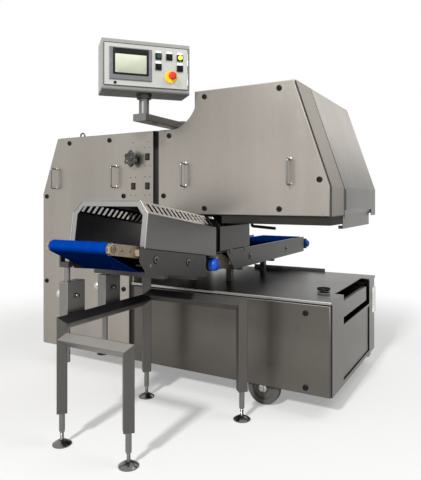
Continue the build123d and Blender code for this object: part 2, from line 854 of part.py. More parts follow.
# Control box, turned towards the operator
box_plane = Plane(
    origin=(arm_x, post_y, box_middle),
    x_dir=(cos(radians(box_yaw)), sin(radians(box_yaw)), 0),
    z_dir=(sin(radians(box_yaw)), -cos(radians(box_yaw)), 0),
)
rim_face = box_depth / 2 - door_depth - fit_gap
door_face = box_depth / 2
door_width = box_width - 2 * box_rim
door_height = box_height - box_rim_low - box_rim_high
door_middle = (box_rim_low - box_rim_high) / 2
door_hinge_x = door_width / 2 + door_hinge_radius + fit_gap
door_hinge_face = door_face - door_hinge_radius
display_x = display_margin + (display_width - door_width) / 2
display_height = door_height - display_margin_low - display_margin_high
display_z = door_middle + (display_margin_low - display_margin_high) / 2
button_right_x = door_width / 2 - button_margin
button_top_z = door_middle + door_height / 2 - button_row_drop
stop_x = button_right_x - button_pitch_x + stop_shift
stop_z = button_top_z - button_row_pitch - stop_drop
key_x = key_margin_x - door_width / 2
key_z = display_z - display_height / 2 - key_gap - key_radius


def face_plate(x, y, width, height, near, far, mode=Mode.ADD):
    """A rectangular block on the control box, between two depths from its middle."""
    with BuildSketch(box_plane.offset(near)) as profile:
        with Locations((x, y)):
            Rectangle(width, height)
    extrude(profile.sketch, amount=far - near, mode=mode)


def face_disc(x, y, radius, near, far, mode=Mode.ADD):
    """A round block on the control box, between two depths from its middle."""
    with BuildSketch(box_plane.offset(near)) as profile:
        with Locations((x, y)):
            Circle(radius)
    extrude(profile.sketch, amount=far - near, mode=mode)


def hinge_knuckle(y0, y1, leaf):
    """A length of the door's hinge barrel with its leaf to the door or to the box rim."""
    foot = box_plane.from_local_coords((door_hinge_x, y0, door_hinge_face))
    with BuildSketch(Plane(origin=foot)) as profile:
        Circle(door_hinge_radius)
    extrude(profile.sketch, amount=y1 - y0)
    face_plate(door_hinge_x + leaf * door_hinge_radius, (y0 + y1) / 2, 2 * door_hinge_radius, y1 - y0,
               door_hinge_face - hinge_leaf_half if leaf < 0 else rim_face, door_hinge_face + hinge_leaf_half)


with BuildPart() as control_box:
    face_plate(0, 0, box_width, box_height, -box_depth / 2, rim_face)
    fillet(control_box.edges().filter_by(Axis((0, 0, 0), tuple(box_plane.z_dir))), 2 * box_sheet)
    face_plate(0, 0, box_width - 2 * box_sheet, box_height - 2 * box_sheet, -box_depth / 2 + box_sheet,
               rim_face - box_sheet, mode=Mode.SUBTRACT)
    face_plate(0, door_middle, door_width - 2 * box_rim, door_height - 2 * box_rim, rim_face - 2 * box_sheet,
               rim_face + cut_margin, mode=Mode.SUBTRACT)
    rod_z(arm_x, post_y, post_top + fit_gap, box_low, collar_radius)
    rod_z(arm_x, post_y, post_top, post_top + 0.8 * collar_height + fit_gap, spigot_radius + run_gap,
          mode=Mode.SUBTRACT)
    for side in (-1, 1):
        hinge_y = door_middle + side * door_height / 4
        hinge_knuckle(hinge_y + fit_gap / 2, hinge_y + door_hinge_length, 1)

with BuildPart() as box_door:
    face_plate(0, door_middle, door_width, door_height, door_face - door_depth, door_face)
    face_plate(0, door_middle, door_width - 2 * door_sheet, door_height - 2 * door_sheet,
               door_face - door_depth, door_face - door_sheet, mode=Mode.SUBTRACT)
    face_disc(key_x, key_z, key_stem_radius + run_gap, door_face - door_depth, door_face + cut_margin,
              mode=Mode.SUBTRACT)
    for side in (-1, 1):
        hinge_y = door_middle + side * door_height / 4
        hinge_knuckle(hinge_y - door_hinge_length, hinge_y - fit_gap / 2, -1)

with BuildPart() as display_panel:
    face_plate(display_x, display_z, display_width, display_height, door_face,
               door_face + display_depth)
    chamfer(display_panel.faces().sort_by(Axis((0, 0, 0), tuple(box_plane.z_dir)))[-1].edges(),
            display_depth / 3)

button_spots = {
    "start_button": (button_right_x - 2 * button_pitch_x, button_top_z),
    "reset_button": (button_right_x - button_pitch_x, button_top_z),
    "signal_button": (button_right_x, button_top_z),
    "mode_selector": (button_right_x - 2 * button_pitch_x, button_top_z - button_row_pitch),
    "speed_selector": (button_right_x, button_top_z - button_row_pitch),
}
with BuildPart() as button_holders:
    for spot_x, spot_y in button_spots.values():
        face_plate(spot_x, spot_y, button_holder, button_holder, door_face, door_face + button_holder_depth)
        face_disc(spot_x, spot_y, button_radius + run_gap, door_face,
                  door_face + button_holder_depth + cut_margin, mode=Mode.SUBTRACT)


def push_button(name):
    """A round push button standing proud of its holder by more than its travel."""
    spot_x, spot_y = button_spots[name]
    face_disc(spot_x, spot_y, button_radius, door_face + button_travel + fit_gap,
              door_face + button_holder_depth + button_proud)


def selector(name):
    """A turning selector: a round base with a grip bar across it."""
    spot_x, spot_y = button_spots[name]
    selector_face = door_face + button_holder_depth + selector_rise
    face_disc(spot_x, spot_y, button_radius, door_face + fit_gap, selector_face)
    face_plate(spot_x, spot_y, 0.6 * button_radius, 1.8 * button_radius, door_face + button_holder_depth,
               door_face + button_holder_depth + 2 * button_proud)


with BuildPart() as start_button:
    push_button("start_button")

with BuildPart() as reset_button:
    push_button("reset_button")

with BuildPart() as signal_button:
    push_button("signal_button")

with BuildPart() as mode_selector:
    selector("mode_selector")

with BuildPart() as speed_selector:
    selector("speed_selector")

with BuildPart() as stop_collar:
    face_disc(stop_x, stop_z, stop_collar_radius, door_face, door_face + stop_collar_depth)
    face_disc(stop_x, stop_z, stop_stem_radius + run_gap, door_face,
              door_face + stop_collar_depth + cut_margin, mode=Mode.SUBTRACT)

with BuildPart() as stop_mushroom:
    cap_face = door_face + stop_collar_depth + button_travel + fit_gap
    face_disc(stop_x, stop_z, stop_stem_radius, door_face + button_travel + fit_gap, cap_face)
    face_disc(stop_x, stop_z, stop_radius, cap_face, cap_face + stop_height / 2)
    cap = stop_mushroom.faces().sort_by(Axis((0, 0, 0), tuple(box_plane.z_dir)))[-1]
    fillet(cap.edges(), stop_radius / 3)

with BuildPart() as box_lock:
    face_disc(key_x, key_z, key_stem_radius, door_face - door_depth, door_face + fit_gap)
    face_disc(key_x, key_z, key_radius, door_face + fit_gap, door_face + key_radius / 2)
    face_plate(key_x, key_z, key_radius / 3, key_radius, door_face + key_radius / 4,
               door_face + key_radius, mode=Mode.SUBTRACT)

# Belt conveyors: a level one under the head, and a hooded one that rises towards the front
plate_outer = conveyor_width / 2
plate_inner = plate_outer - plate_sheet
arm_inner = belt_width / 2 + roller_overhang + arm_gap
arm_outer = arm_inner + arm_sheet
cap_end = plate_outer + cap_proud
nose = (front - nose_reach, nose_level)
tail = (front + tail_setback, tail_level)
drum_axis = (front - drum_reach, drum_level)
near_axis = (front + near_roller_setback, transfer_axis_level)
far_axis = (front + far_reach, transfer_axis_level + roller_radius - far_radius)
outfeed_front_y = front - outfeed_front_reach
outfeed_back_y = front - outfeed_back_reach


def outfeed_low(y):
    """The height of the hooded conveyor's lower plate edge at a place along it."""
    return outfeed_front_level - outfeed_slope * (y - outfeed_front_y)


def mirrored_yz(points, near, far):
    """A left and a right plate of one outline, between two distances from the belt's middle."""
    shape_yz(points, belt_x + near, belt_x + far)
    shape_yz(points, belt_x - far, belt_x - near)


def bore_x(axis, radius):
    """A hole along X right across the conveyor."""
    rod_x(belt_x - conveyor_width, belt_x + conveyor_width, axis[0], axis[1], radius, mode=Mode.SUBTRACT)


def belt(wheels):
    """A closed belt: the hull round its rollers, less the same hull a belt thickness smaller."""
    for thickness, mode in ((belt_sheet, Mode.ADD), (0, Mode.SUBTRACT)):
        with BuildSketch(Plane.YZ.offset(belt_x - belt_width / 2)) as profile:
            for (axis_y, axis_z), radius in wheels:
                with Locations((axis_y, axis_z)):
                    Circle(radius + belt_gap + thickness)
            make_hull()
        extrude(profile.sketch, amount=belt_width, mode=mode)


def roller(axis, radius, axle_reach, cap_radius=0):
    """A belt roller with stub axles, and with end caps outside its arms where it has them."""
    half = belt_width / 2 + roller_overhang
    rod_x(belt_x - half, belt_x + half, axis[0], axis[1], radius)
    rod_x(belt_x - axle_reach, belt_x + axle_reach, axis[0], axis[1], axle_end_radius)
    if cap_radius:
        for near, far in ((arm_outer + fit_gap, axle_reach), (-axle_reach, -arm_outer - fit_gap)):
            rod_x(belt_x + near, belt_x + far, axis[0], axis[1], cap_radius)


with BuildPart() as outfeed_plates:
    mirrored_yz(
        [
            (outfeed_front_y, outfeed_front_level + outfeed_plate_height),
            (outfeed_back_y, outfeed_low(outfeed_back_y) + outfeed_plate_height),
            (outfeed_back_y, outfeed_low(outfeed_back_y)),
            (outfeed_front_y + outfeed_corner_cut, outfeed_low(outfeed_front_y + outfeed_corner_cut)),
            (outfeed_front_y, outfeed_front_level + outfeed_corner_cut),
        ],
        plate_inner,
        plate_outer,
    )
    bore_x(drum_axis, axle_end_radius + run_gap)

with BuildPart() as transfer_plates:
    mirrored_yz(
        [
            (front + transfer_start, transfer_high),
            (front + transfer_end, transfer_high),
            (front + transfer_end, transfer_low),
            (front + transfer_start + transfer_cut_length, transfer_low),
            (front + transfer_start, transfer_low + transfer_cut_height),
        ],
        plate_inner,
        plate_outer,
    )

nose_bar_y = front - clamp_front_reach + rod_setback
nose_seat_top = nose_level - nose_seat_drop
nose_root_y = outfeed_front_y + 1.5 * cross_bar
bracket_start_y = outfeed_back_y - cross_bar
bracket_end_y = front + transfer_start + transfer_cut_length + cross_bar
far_root_y = front + transfer_end - 2 * cross_bar


def spacer(y0, y1, z0, z1):
    """A left and a right block that join a roller arm to its conveyor plate."""
    for near, far in ((arm_outer, plate_inner), (-plate_inner, -arm_outer)):
        block(belt_x + near, belt_x + far, y0, y1, z0, z1)


with BuildPart() as roller_arms:
    mirrored_yz(
        [
            (nose_root_y, nose_level),
            (nose[0], nose_level + nose_arm_half),
            (nose[0] - nose_arm_half, nose_level + nose_arm_half / 2),
            (nose[0] - nose_arm_half, nose_level - nose_arm_half / 2),
            (nose[0], nose_level - nose_arm_half),
            (nose_root_y, nose_level - 2 * cross_bar),
        ],
        arm_inner,
        arm_outer,
    )
    spacer(nose_root_y - cross_bar, nose_root_y, nose_level - 1.5 * cross_bar, nose_level - cross_bar / 2)
    mirrored_yz(
        [
            (bracket_start_y, tail_level + cross_bar),
            (bracket_start_y, tail_level - cross_bar),
            (tail[0], tail_level - 1.5 * cross_bar),
            (bracket_end_y, transfer_low + cross_bar / 3),
            (bracket_end_y, transfer_low + 2 * cross_bar),
            (near_axis[0] + 2 * cross_bar, near_axis[1] + 2 * cross_bar / 3),
            (near_axis[0] - 2 * cross_bar / 3, near_axis[1] + 2 * cross_bar / 3),
            (tail[0], tail_level + cross_bar),
        ],
        arm_inner,
        arm_outer,
    )
    spacer(bracket_start_y, outfeed_back_y, tail_level - cross_bar / 2, tail_level + cross_bar / 2)
    spacer(bracket_end_y - cross_bar, bracket_end_y, transfer_low + cross_bar, transfer_low + 2 * cross_bar)
    mirrored_yz(
        [
            (far_root_y, far_axis[1] + cross_bar),
            (far_root_y, far_axis[1] - cross_bar),
            (far_axis[0], far_axis[1] - cross_bar),
            (far_axis[0] + cross_bar, far_axis[1]),
            (far_axis[0], far_axis[1] + cross_bar),
        ],
        arm_inner,
        arm_outer,
    )
    spacer(far_root_y, far_root_y + cross_bar, far_axis[1] - cross_bar, far_axis[1] + cross_bar)
    for arm_axis in (nose, tail, near_axis, far_axis):
        bore_x(arm_axis, axle_end_radius + run_gap)

with BuildPart() as outfeed_belt:
    belt([(nose, roller_radius), (tail, roller_radius), (drum_axis, drum_radius)])

with BuildPart() as transfer_belt:
    belt([(near_axis, roller_radius), (far_axis, far_radius)])

with BuildPart() as nose_roller:
    roller(nose, roller_radius, arm_outer)

with BuildPart() as drive_drum:
    roller(drum_axis, drum_radius, plate_outer)

with BuildPart() as tail_roller:
    roller(tail, roller_radius, cap_end, tail_cap_radius)

with BuildPart() as near_roller:
    roller(near_axis, roller_radius, arm_outer)

with BuildPart() as far_roller:
    roller(far_axis, far_radius, cap_end, far_cap_radius)

clamp_two_reach = clamp_front_reach - clamp_pitch
rod_bar_y = front - clamp_two_reach + rod_setback
stand_bar_y = front - stand_inner_reach
tube_half = tube / 2 ** 0.5
stand_x = belt_x - plate_outer + stand_offset
clamp_right = stand_x - tube_half
clamp_left = clamp_right - clamp_thickness
rod_x_place = clamp_right - clamp_thickness / 2


def outfeed_bar_top(y):
    """The top of a cross bar let into the hooded conveyor's plates from below."""
    return outfeed_low(y + cross_bar / 2) + cross_bar_sink


with BuildPart() as conveyor_cross_members:
    run_length = hypot(tail[0] - nose[0], tail[1] - nose[1])
    along = ((tail[0] - nose[0]) / run_length, (tail[1] - nose[1]) / run_length)
    bed_top = roller_radius + belt_gap - fit_gap
    bed_corners = []
    for reach, lift in (
        (bed_front_setback, bed_top),
        (run_length - bed_back_setback, bed_top),
        (run_length - bed_back_setback, bed_top - bed_sheet),
        (bed_front_setback, bed_top - bed_sheet),
    ):
        corner_y = nose[0] + along[0] * reach - along[1] * lift
        corner_z = nose[1] + along[1] * reach + along[0] * lift
        bed_corners.append((corner_y, corner_z))
    shape_yz(bed_corners, belt_x - plate_inner, belt_x + plate_inner)
    block(belt_x - plate_inner, belt_x + plate_inner, near_axis[0] + transfer_bed_setback,
          front + transfer_end - 3 * cross_bar, transfer_axis_level + bed_top - bed_sheet,
          transfer_axis_level + bed_top)
    hanger_right = belt_x - arm_outer
    block(hanger_right - hanger_sheet, rod_x_place + 1.5 * rod_radius, nose_bar_y - cross_bar / 2,
          nose_bar_y + cross_bar / 2, nose_seat_top - cross_bar_height, nose_seat_top)
    block(hanger_right - hanger_sheet, hanger_right, nose_bar_y - cross_bar / 2, nose_bar_y + cross_bar / 2,
          nose_seat_top, nose_level)
    for bar_y in (rod_bar_y, stand_bar_y):
        block(belt_x - plate_inner, belt_x + plate_inner, bar_y - cross_bar / 2, bar_y + cross_bar / 2,
              outfeed_bar_top(bar_y) - cross_bar_height, outfeed_bar_top(bar_y))
    transfer_bar_ys = (front + 0.35 * machine_depth, front + 0.85 * machine_depth)
    transfer_bar_top = transfer_low + cross_bar_sink
    for bar_y in transfer_bar_ys:
        block(belt_x - plate_inner, belt_x + plate_inner, bar_y - cross_bar / 2, bar_y + cross_bar / 2,
              transfer_bar_top - cross_bar_height, transfer_bar_top)
    for bar_y in transfer_bar_ys:
        for side in (-1, 1):
            post_x = belt_x + side * plate_inner * 0.62
            block(post_x - post_bar / 2, post_x + post_bar / 2, bar_y - post_bar / 2, bar_y + post_bar / 2,
                  base_top, transfer_bar_top - cross_bar_height)


def tunnel_path(middle, half, low, height, chamfer_height):
    """A tunnel's cross-section from its right foot over the two chamfers to its left foot."""
    return [
        (middle + half, low),
        (middle + half, low + height - chamfer_height),
        (middle + half - hood_chamfer_width, low + height),
        (middle - half + hood_chamfer_width, low + height),
        (middle - half, low + height - chamfer_height),
        (middle - half, low),
    ]


hood_half = plate_outer + hood_sheet
hood_front_y = outfeed_front_y + hood_setback
hood_back_y = front + hood_back_setback
hood_length = hood_back_y - hood_front_y
hood_low = outfeed_low(hood_front_y) + outfeed_plate_height - hood_overlap
hood_back_low = hood_low - outfeed_slope * hood_length
hood_lean = hypot(1, outfeed_slope)
hood_face = Plane(origin=(belt_x, hood_front_y, hood_low), x_dir=(1, 0, 0), z_dir=(0, -1, outfeed_slope))
with BuildPart() as hood:
    with BuildSketch(Plane.XZ.offset(-hood_back_y)):
        tunnel = tunnel_path(belt_x, hood_half, hood_back_low, hood_height, hood_chamfer_height)
        Polygon(*sheet_strip(tunnel, hood_sheet), align=None)
    extrude(amount=(hood_length + hood_rim) * hood_lean, dir=(0, -1, outfeed_slope))
    split(bisect_by=hood_face, keep=Keep.BOTTOM)
    with BuildSketch(hood_face):
        rim_low = (hood_overlap + fit_gap) / hood_lean
        rim_height = hood_height / hood_lean - rim_low
        tunnel = tunnel_path(0, hood_half, rim_low, rim_height, hood_chamfer_height / hood_lean)
        Polygon(*sheet_strip(tunnel, hood_rim), align=None)
    extrude(amount=-hood_sheet)
    vent_start = hood_front_y + 2 * hood_rim
    vent_step = (hood_back_y - vent_start) / (vent_count + 0.5)
    vent_near = hood_half - hood_chamfer_width + vent_margin
    vent_far = hood_half - vent_margin
    for vent_index in range(vent_count):
        vent_y = vent_start + (vent_index + 0.5) * vent_step
        vent_top = hood_low + hood_height - outfeed_slope * (vent_y - hood_front_y)
        for near, far in ((vent_near, vent_far), (-vent_far, -vent_near)):
            block(belt_x + near, belt_x + far, vent_y - vent_width / 2, vent_y + vent_width / 2,
                  vent_top - 1.2 * hood_chamfer_height, vent_top + cut_margin, mode=Mode.SUBTRACT)

guard_half = plate_outer + guard_proud
guard_low = transfer_high + guard_lift
guard_height = head_bottom - guard_gap_top - guard_low
with BuildPart() as throat_guard:
    tunnel = tunnel_path(belt_x, guard_half, guard_low, guard_height, hood_chamfer_height)
    shape_xz(sheet_strip(tunnel, hood_sheet), front + guard_start, front + guard_end)
    block(belt_x - divider_length / 2, belt_x + divider_length / 2,
          middle_y - divider_radius - guard_outlet_margin, front + guard_end + cut_margin,
          guard_low + guard_height - 2 * hood_sheet, guard_low + guard_height + cut_margin,
          mode=Mode.SUBTRACT)
    for foot_y in (front + transfer_start + guard_foot_inset, front + guard_end - guard_foot_inset):
        for near, far in ((plate_outer, guard_half - hood_sheet), (hood_sheet - guard_half, -plate_outer)):
            block(belt_x + near, belt_x + far, foot_y - guard_foot_width / 2, foot_y + guard_foot_width / 2,
                  transfer_high - guard_foot_width / 2, guard_low + guard_foot_width / 2)

with BuildPart() as throat_seal:
    seal_low = guard_low + seal_inset
    seal_height = hood_back_low + hood_height - 2 * seal_inset - seal_low
    tunnel = tunnel_path(belt_x, plate_outer - seal_inset, seal_low, seal_height, hood_chamfer_height)
    shape_xz(sheet_strip(tunnel, hood_sheet), hood_back_y - seal_lap, front + guard_start + seal_tail)

# Stand of square tubes set on edge, with mitred and saddled joints
outer_y = front - stand_reach
inner_y = front - stand_inner_reach
bench_x = stand_x + stand_bench_width
portal_x = stand_x + stand_portal_width
inner_post_top = outfeed_bar_top(stand_bar_y) - cross_bar_height


def upright(x, y, top, mitre=None):
    """A hollow upright tube on edge, closed at its foot and cut to its mitre at the top."""
    with BuildPart(mode=Mode.PRIVATE) as length:
        with BuildSketch(Plane.XY.offset(tube_bottom)):
            with Locations((x, y)):
                Rectangle(tube, tube, rotation=45)
        extrude(amount=top - tube_bottom)
        with BuildSketch(Plane.XY.offset(tube_bottom + 2 * tube_wall)):
            with Locations((x, y)):
                Rectangle(tube - 2 * tube_wall, tube - 2 * tube_wall, rotation=45)
        extrude(amount=top - tube_bottom - 2 * tube_wall, mode=Mode.SUBTRACT)
        if mitre:
            split(bisect_by=mitre, keep=Keep.TOP)
    add(length.part)


def rail(start, end, mitre):
    """A hollow level tube on edge between two points, cut to its mitre."""
    axis = Vector(*end) - Vector(*start)
    section = Plane(origin=start, x_dir=(0, 0, 1), z_dir=tuple(axis))
    with BuildPart(mode=Mode.PRIVATE) as length:
        with BuildSketch(section):
            Rectangle(tube, tube, rotation=45)
            Rectangle(tube - 2 * tube_wall, tube - 2 * tube_wall, rotation=45, mode=Mode.SUBTRACT)
        extrude(amount=axis.length)
        split(bisect_by=mitre, keep=Keep.BOTTOM)
    add(length.part)


def saddle(x, y):
    """The cut that seats a rail's end on an upright."""
    with BuildSketch(Plane.XY.offset(tube_bottom)) as profile:
        with Locations((x, y)):
            Rectangle(tube, tube, rotation=45)
    extrude(profile.sketch, amount=hood_low, mode=Mode.SUBTRACT)


bench_mitre = Plane(origin=(bench_x, outer_y, bench_level), z_dir=(1, 0, -1))
portal_mitre = Plane(origin=(portal_x, inner_y, portal_level), z_dir=(1, 0, -1))
front_mitre = Plane(origin=(stand_x, outer_y, cross_rail_level), z_dir=(0, -1, -1))

with BuildPart() as stand_uprights:
    upright(stand_x, outer_y, cross_rail_level + tube_half, front_mitre)
    upright(bench_x, outer_y, bench_level + tube_half, bench_mitre)
    upright(portal_x, inner_y, portal_level + tube_half, portal_mitre)
    upright(stand_x, inner_y, inner_post_top)

with BuildPart() as stand_rails:
    rail((stand_x, outer_y, bench_level), (bench_x + tube_half, outer_y, bench_level), bench_mitre)
    rail((stand_x, inner_y, portal_level), (portal_x + tube_half, inner_y, portal_level), portal_mitre)
    saddle(stand_x, outer_y)
    saddle(stand_x, inner_y)

with BuildPart() as cross_rail:
    rail((stand_x, outer_y - tube_half, cross_rail_level), (stand_x, inner_y, cross_rail_level), front_mitre)
    saddle(stand_x, inner_y)
    with BuildSketch(Plane(origin=(stand_x, inner_y, portal_level), x_dir=(0, 0, 1), z_dir=(1, 0, 0))):
        Rectangle(tube, tube, rotation=45)
    extrude(amount=tube, mode=Mode.SUBTRACT)


def levelling_foot(x, y, top, sleeve_low, stem_radius, sleeve, radius, height):
    """A levelling foot: a sleeve, a threaded stem and a domed round pad on the floor."""
    rod_z(x, y, sleeve_low, top, sleeve)
    rod_z(x, y, height / 2, sleeve_low, stem_radius)
    with BuildSketch(Plane(origin=(x, y, 0), x_dir=(1, 0, 0), z_dir=(0, -1, 0))) as profile:
        with BuildLine():
            Polyline((0, height), (0, 0), (radius, 0), (radius, height / 4))
            ThreePointArc((radius, height / 4), (0.75 * radius, 0.6 * height), (0.35 * radius, height))
            Line((0.35 * radius, height), (0, height))
        make_face()
    revolve(profile.sketch, axis=Axis((x, y, 0), (0, 0, 1)))


machine_foot_x = x_left + foot_inset_x
stand_feet_spots = [(stand_x, outer_y), (bench_x, outer_y), (stand_x, inner_y), (portal_x, inner_y)]
with BuildPart() as levelling_feet:
    for foot_x, foot_y in stand_feet_spots:
        levelling_foot(foot_x, foot_y, tube_bottom, sleeve_bottom, thread_radius, sleeve_radius, pad_radius,
                       pad_height)
    for foot_y in (front + foot_inset_y, back - foot_inset_y):
        levelling_foot(machine_foot_x, foot_y, base_bottom, base_bottom - foot_pad_height, foot_stem_radius,
                       2 * foot_stem_radius, pad_radius, pad_height)

# Rod clamps on the stand's cross rail, with the rods that carry the hooded conveyor
rod_places = [
    (nose_bar_y, nose_seat_top - cross_bar_height),
    (rod_bar_y, outfeed_bar_top(rod_bar_y) - cross_bar_height),
]
clamp_bolt_level = cross_rail_level + tube_half + 0.5 * clamp_height
with BuildPart() as rod_clamps:
    for rod_y_place, rod_top in rod_places:
        clamp_front = rod_y_place - rod_setback
        bolt_y = clamp_front + clamp_depth / 2
        rod_x(clamp_right, clamp_right + bolt_radius, bolt_y, clamp_bolt_level, bolt_radius)
        with Locations((clamp_left, bolt_y, clamp_bolt_level)):
            Sphere(nut_radius)
        block(clamp_left, clamp_right, clamp_front, clamp_front + clamp_depth, cross_rail_level,
              cross_rail_level + tube_half + clamp_height)
        rod_z(rod_x_place, rod_y_place, cross_rail_level - cut_margin,
              cross_rail_level + tube_half + clamp_height + cut_margin, rod_radius, mode=Mode.SUBTRACT)

with BuildPart() as support_rods:
    for rod_y_place, rod_top in rod_places:
        rod_z(rod_x_place, rod_y_place, cross_rail_level - rod_drop, rod_top, rod_radius)

# Dividing mechanism inside the head
cheek_low = head_bottom + wall
outlet_level = feed_axis_level + feed_radius + hopper_outlet_gap
cheek_top = outlet_level - wall
gear_case_right = high_joint_x - wall - fit_gap
gear_case_left = gear_case_right - gear_case_width
motor_box_left = gear_case_left - motor_box_width
shaft_right = belt_x + cheek_inner + cheek_sheet
piston_pitch = piston_pitch_share * divider_length / piston_count
piston_radius = piston_radius_share * piston_pitch
piston_xs = [belt_x + (index - (piston_count - 1) / 2) * piston_pitch for index in range(piston_count)]

with BuildPart() as divider_frame:
    for near in (belt_x - cheek_inner - cheek_sheet, belt_x + cheek_inner):
        block(near, near + cheek_sheet, middle_y - cheek_half_depth, middle_y + cheek_half_depth, cheek_low,
              cheek_top)
    rod_x(cheek_left - cut_margin, shaft_right + cut_margin, drum_place[0], drum_place[1],
          divider_shaft_radius + run_gap, mode=Mode.SUBTRACT)
    for feed_axis in feed_axes:
        rod_x(cheek_left - cut_margin, shaft_right + cut_margin, feed_axis[0], feed_axis[1],
              feed_shaft_radius + run_gap, mode=Mode.SUBTRACT)

with BuildPart() as dividing_drum:
    rod_x(belt_x - divider_length / 2, belt_x + divider_length / 2, drum_place[0], drum_place[1],
          divider_radius)
    rod_x(motor_box_left + shaft_socket_depth, shaft_right, drum_place[0], drum_place[1],
          divider_shaft_radius)
    for piston_x in piston_xs:
        rod_z(piston_x, drum_place[0], drum_axis_level - divider_radius - cut_margin,
              drum_axis_level + divider_radius + cut_margin, piston_radius + run_gap, mode=Mode.SUBTRACT)

with BuildPart() as drum_pistons:
    for piston_x in piston_xs:
        rod_z(piston_x, drum_place[0], drum_axis_level - divider_radius + piston_sink,
              drum_axis_level + divider_radius - piston_sink, piston_radius)


def feed_roller(axis):
    """A fluted roller that draws the dough down from the hopper."""
    with BuildSketch(Plane.YZ.offset(belt_x - divider_length / 2)) as profile:
        with Locations(axis):
            Circle(feed_radius)
            with PolarLocations(feed_radius, feed_flutes):
                Circle(feed_flute_radius, mode=Mode.SUBTRACT)
    extrude(profile.sketch, amount=divider_length)
    rod_x(gear_case_right - shaft_socket_depth + fit_gap, shaft_right, axis[0], axis[1], feed_shaft_radius)


with BuildPart() as front_feed_roller:
    feed_roller(feed_axes[0])

with BuildPart() as rear_feed_roller:
    feed_roller(feed_axes[1])

hopper_x0 = head_top_left + hopper_left
hopper_x1 = head_top_left + hopper_right
outlet_x0 = belt_x - divider_length / 2
outlet_x1 = belt_x + divider_length / 2
hopper_profile = [
    (hopper_x0, head_top),
    (hopper_x0, head_top - hopper_drop),
    (outlet_x0, outlet_level),
    (outlet_x1, outlet_level),
    (hopper_x1, head_top),
]
with BuildPart() as hopper_chute:
    shape_xz(hopper_profile, hopper_front_y, hopper_back_y)
    with BuildSketch(Plane.XZ.offset(-(hopper_back_y - wall))):
        Polygon(*hopper_profile, align=None)
        offset(amount=-wall, kind=Kind.INTERSECTION)
    extrude(amount=hopper_back_y - hopper_front_y - 2 * wall, mode=Mode.SUBTRACT)
    block(outlet_x0 + 2 * wall, outlet_x1 - wall, hopper_front_y + wall, hopper_back_y - wall,
          outlet_level - cut_margin, outlet_level + 2 * wall, mode=Mode.SUBTRACT)
    block(hopper_x0 - hopper_flange, hopper_x1 + hopper_flange, hopper_front_y - hopper_flange,
          hopper_back_y + hopper_flange, head_top, head_top + wall)
    block(hopper_x0 + wall, hopper_x1 - wall, hopper_front_y + wall, hopper_back_y - wall,
          head_top - 2 * wall, head_top + wall + cut_margin, mode=Mode.SUBTRACT)

with BuildPart() as gearmotor:
    block(motor_box_left, gear_case_left, middle_y - motor_box_depth / 2, middle_y + motor_box_depth / 2,
          drum_axis_level - motor_box_height / 2, drum_axis_level + motor_box_height / 2)
    fillet(gearmotor.edges().filter_by(Axis.X), motor_box_depth / 10)
    block(gear_case_left, gear_case_right, middle_y - gear_case_half_depth, middle_y + gear_case_half_depth,
          cheek_low + gear_case_lift, cheek_top)
    rod_x(motor_box_left - motor_length, motor_box_left, middle_y, drum_axis_level, motor_radius)
    rod_x(motor_box_left + shaft_socket_depth - cut_margin, gear_case_right + cut_margin, drum_place[0],
          drum_place[1], divider_shaft_radius + run_gap, mode=Mode.SUBTRACT)
    for feed_axis in feed_axes:
        rod_x(gear_case_right - shaft_socket_depth, gear_case_right + cut_margin, feed_axis[0], feed_axis[1],
              feed_shaft_radius + run_gap, mode=Mode.SUBTRACT)

# One STEP file for each piece
pieces = {
    "cabinet_shell": cabinet_shell,
    "cabinet_front_panel": cabinet_front_panel,
    "handwheel": handwheel,
    "setting_gauges": setting_gauges,
    "lifting_eye": lifting_eye,
    "base_frame": base_frame,
    "base_top_plate": base_top_plate,
    "base_front_panel": base_front_panel,
    "crumb_drawer": crumb_drawer,
    "head_shell": head_shell,
    "head_front_panel": head_front_panel,
    "rear_panels": rear_panels,
    "end_cover": end_cover,
    "cover_grip": cover_grip,
    "panel_locks": panel_locks,
    "panel_handles": panel_handles,
    "wheel_axle": wheel_axle,
    "front_wheel": front_wheel,
    "rear_wheel": rear_wheel,
    "arm_pivot": arm_pivot,
    "control_arm": control_arm,
    "control_box": control_box,
    "box_door": box_door,
    "display_panel": display_panel,
    "button_holders": button_holders,
    "start_button": start_button,
    "reset_button": reset_button,
    "signal_button": signal_button,
    "mode_selector": mode_selector,
    "speed_selector": speed_selector,
    "stop_collar": stop_collar,
    "stop_mushroom": stop_mushroom,
    "box_lock": box_lock,
    "outfeed_plates": outfeed_plates,
    "transfer_plates": transfer_plates,
    "roller_arms": roller_arms,
    "outfeed_belt": outfeed_belt,
    "transfer_belt": transfer_belt,
    "nose_roller": nose_roller,
    "drive_drum": drive_drum,
    "tail_roller": tail_roller,
    "near_roller": near_roller,
    "far_roller": far_roller,
    "conveyor_cross_members": conveyor_cross_members,
    "hood": hood,
    "throat_guard": throat_guard,
    "throat_seal": throat_seal,
    "stand_uprights": stand_uprights,
    "stand_rails": stand_rails,
    "cross_rail": cross_rail,
    "levelling_feet": levelling_feet,
    "rod_clamps": rod_clamps,
    "support_rods": support_rods,
    "divider_frame": divider_frame,
    "dividing_drum": dividing_drum,
    "drum_pistons": drum_pistons,
    "front_feed_roller": front_feed_roller,
    "rear_feed_roller": rear_feed_roller,
    "hopper_chute": hopper_chute,
    "gearmotor": gearmotor,
}
os.makedirs("parts", exist_ok=True)
for label, piece in pieces.items():
    piece.part.label = label
    export_step(piece.part, f"parts/{label}.step")
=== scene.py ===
"""Looks of the dough divider: finishes of its CAD pieces, small fittings on them and a studio."""
import json
from math import radians

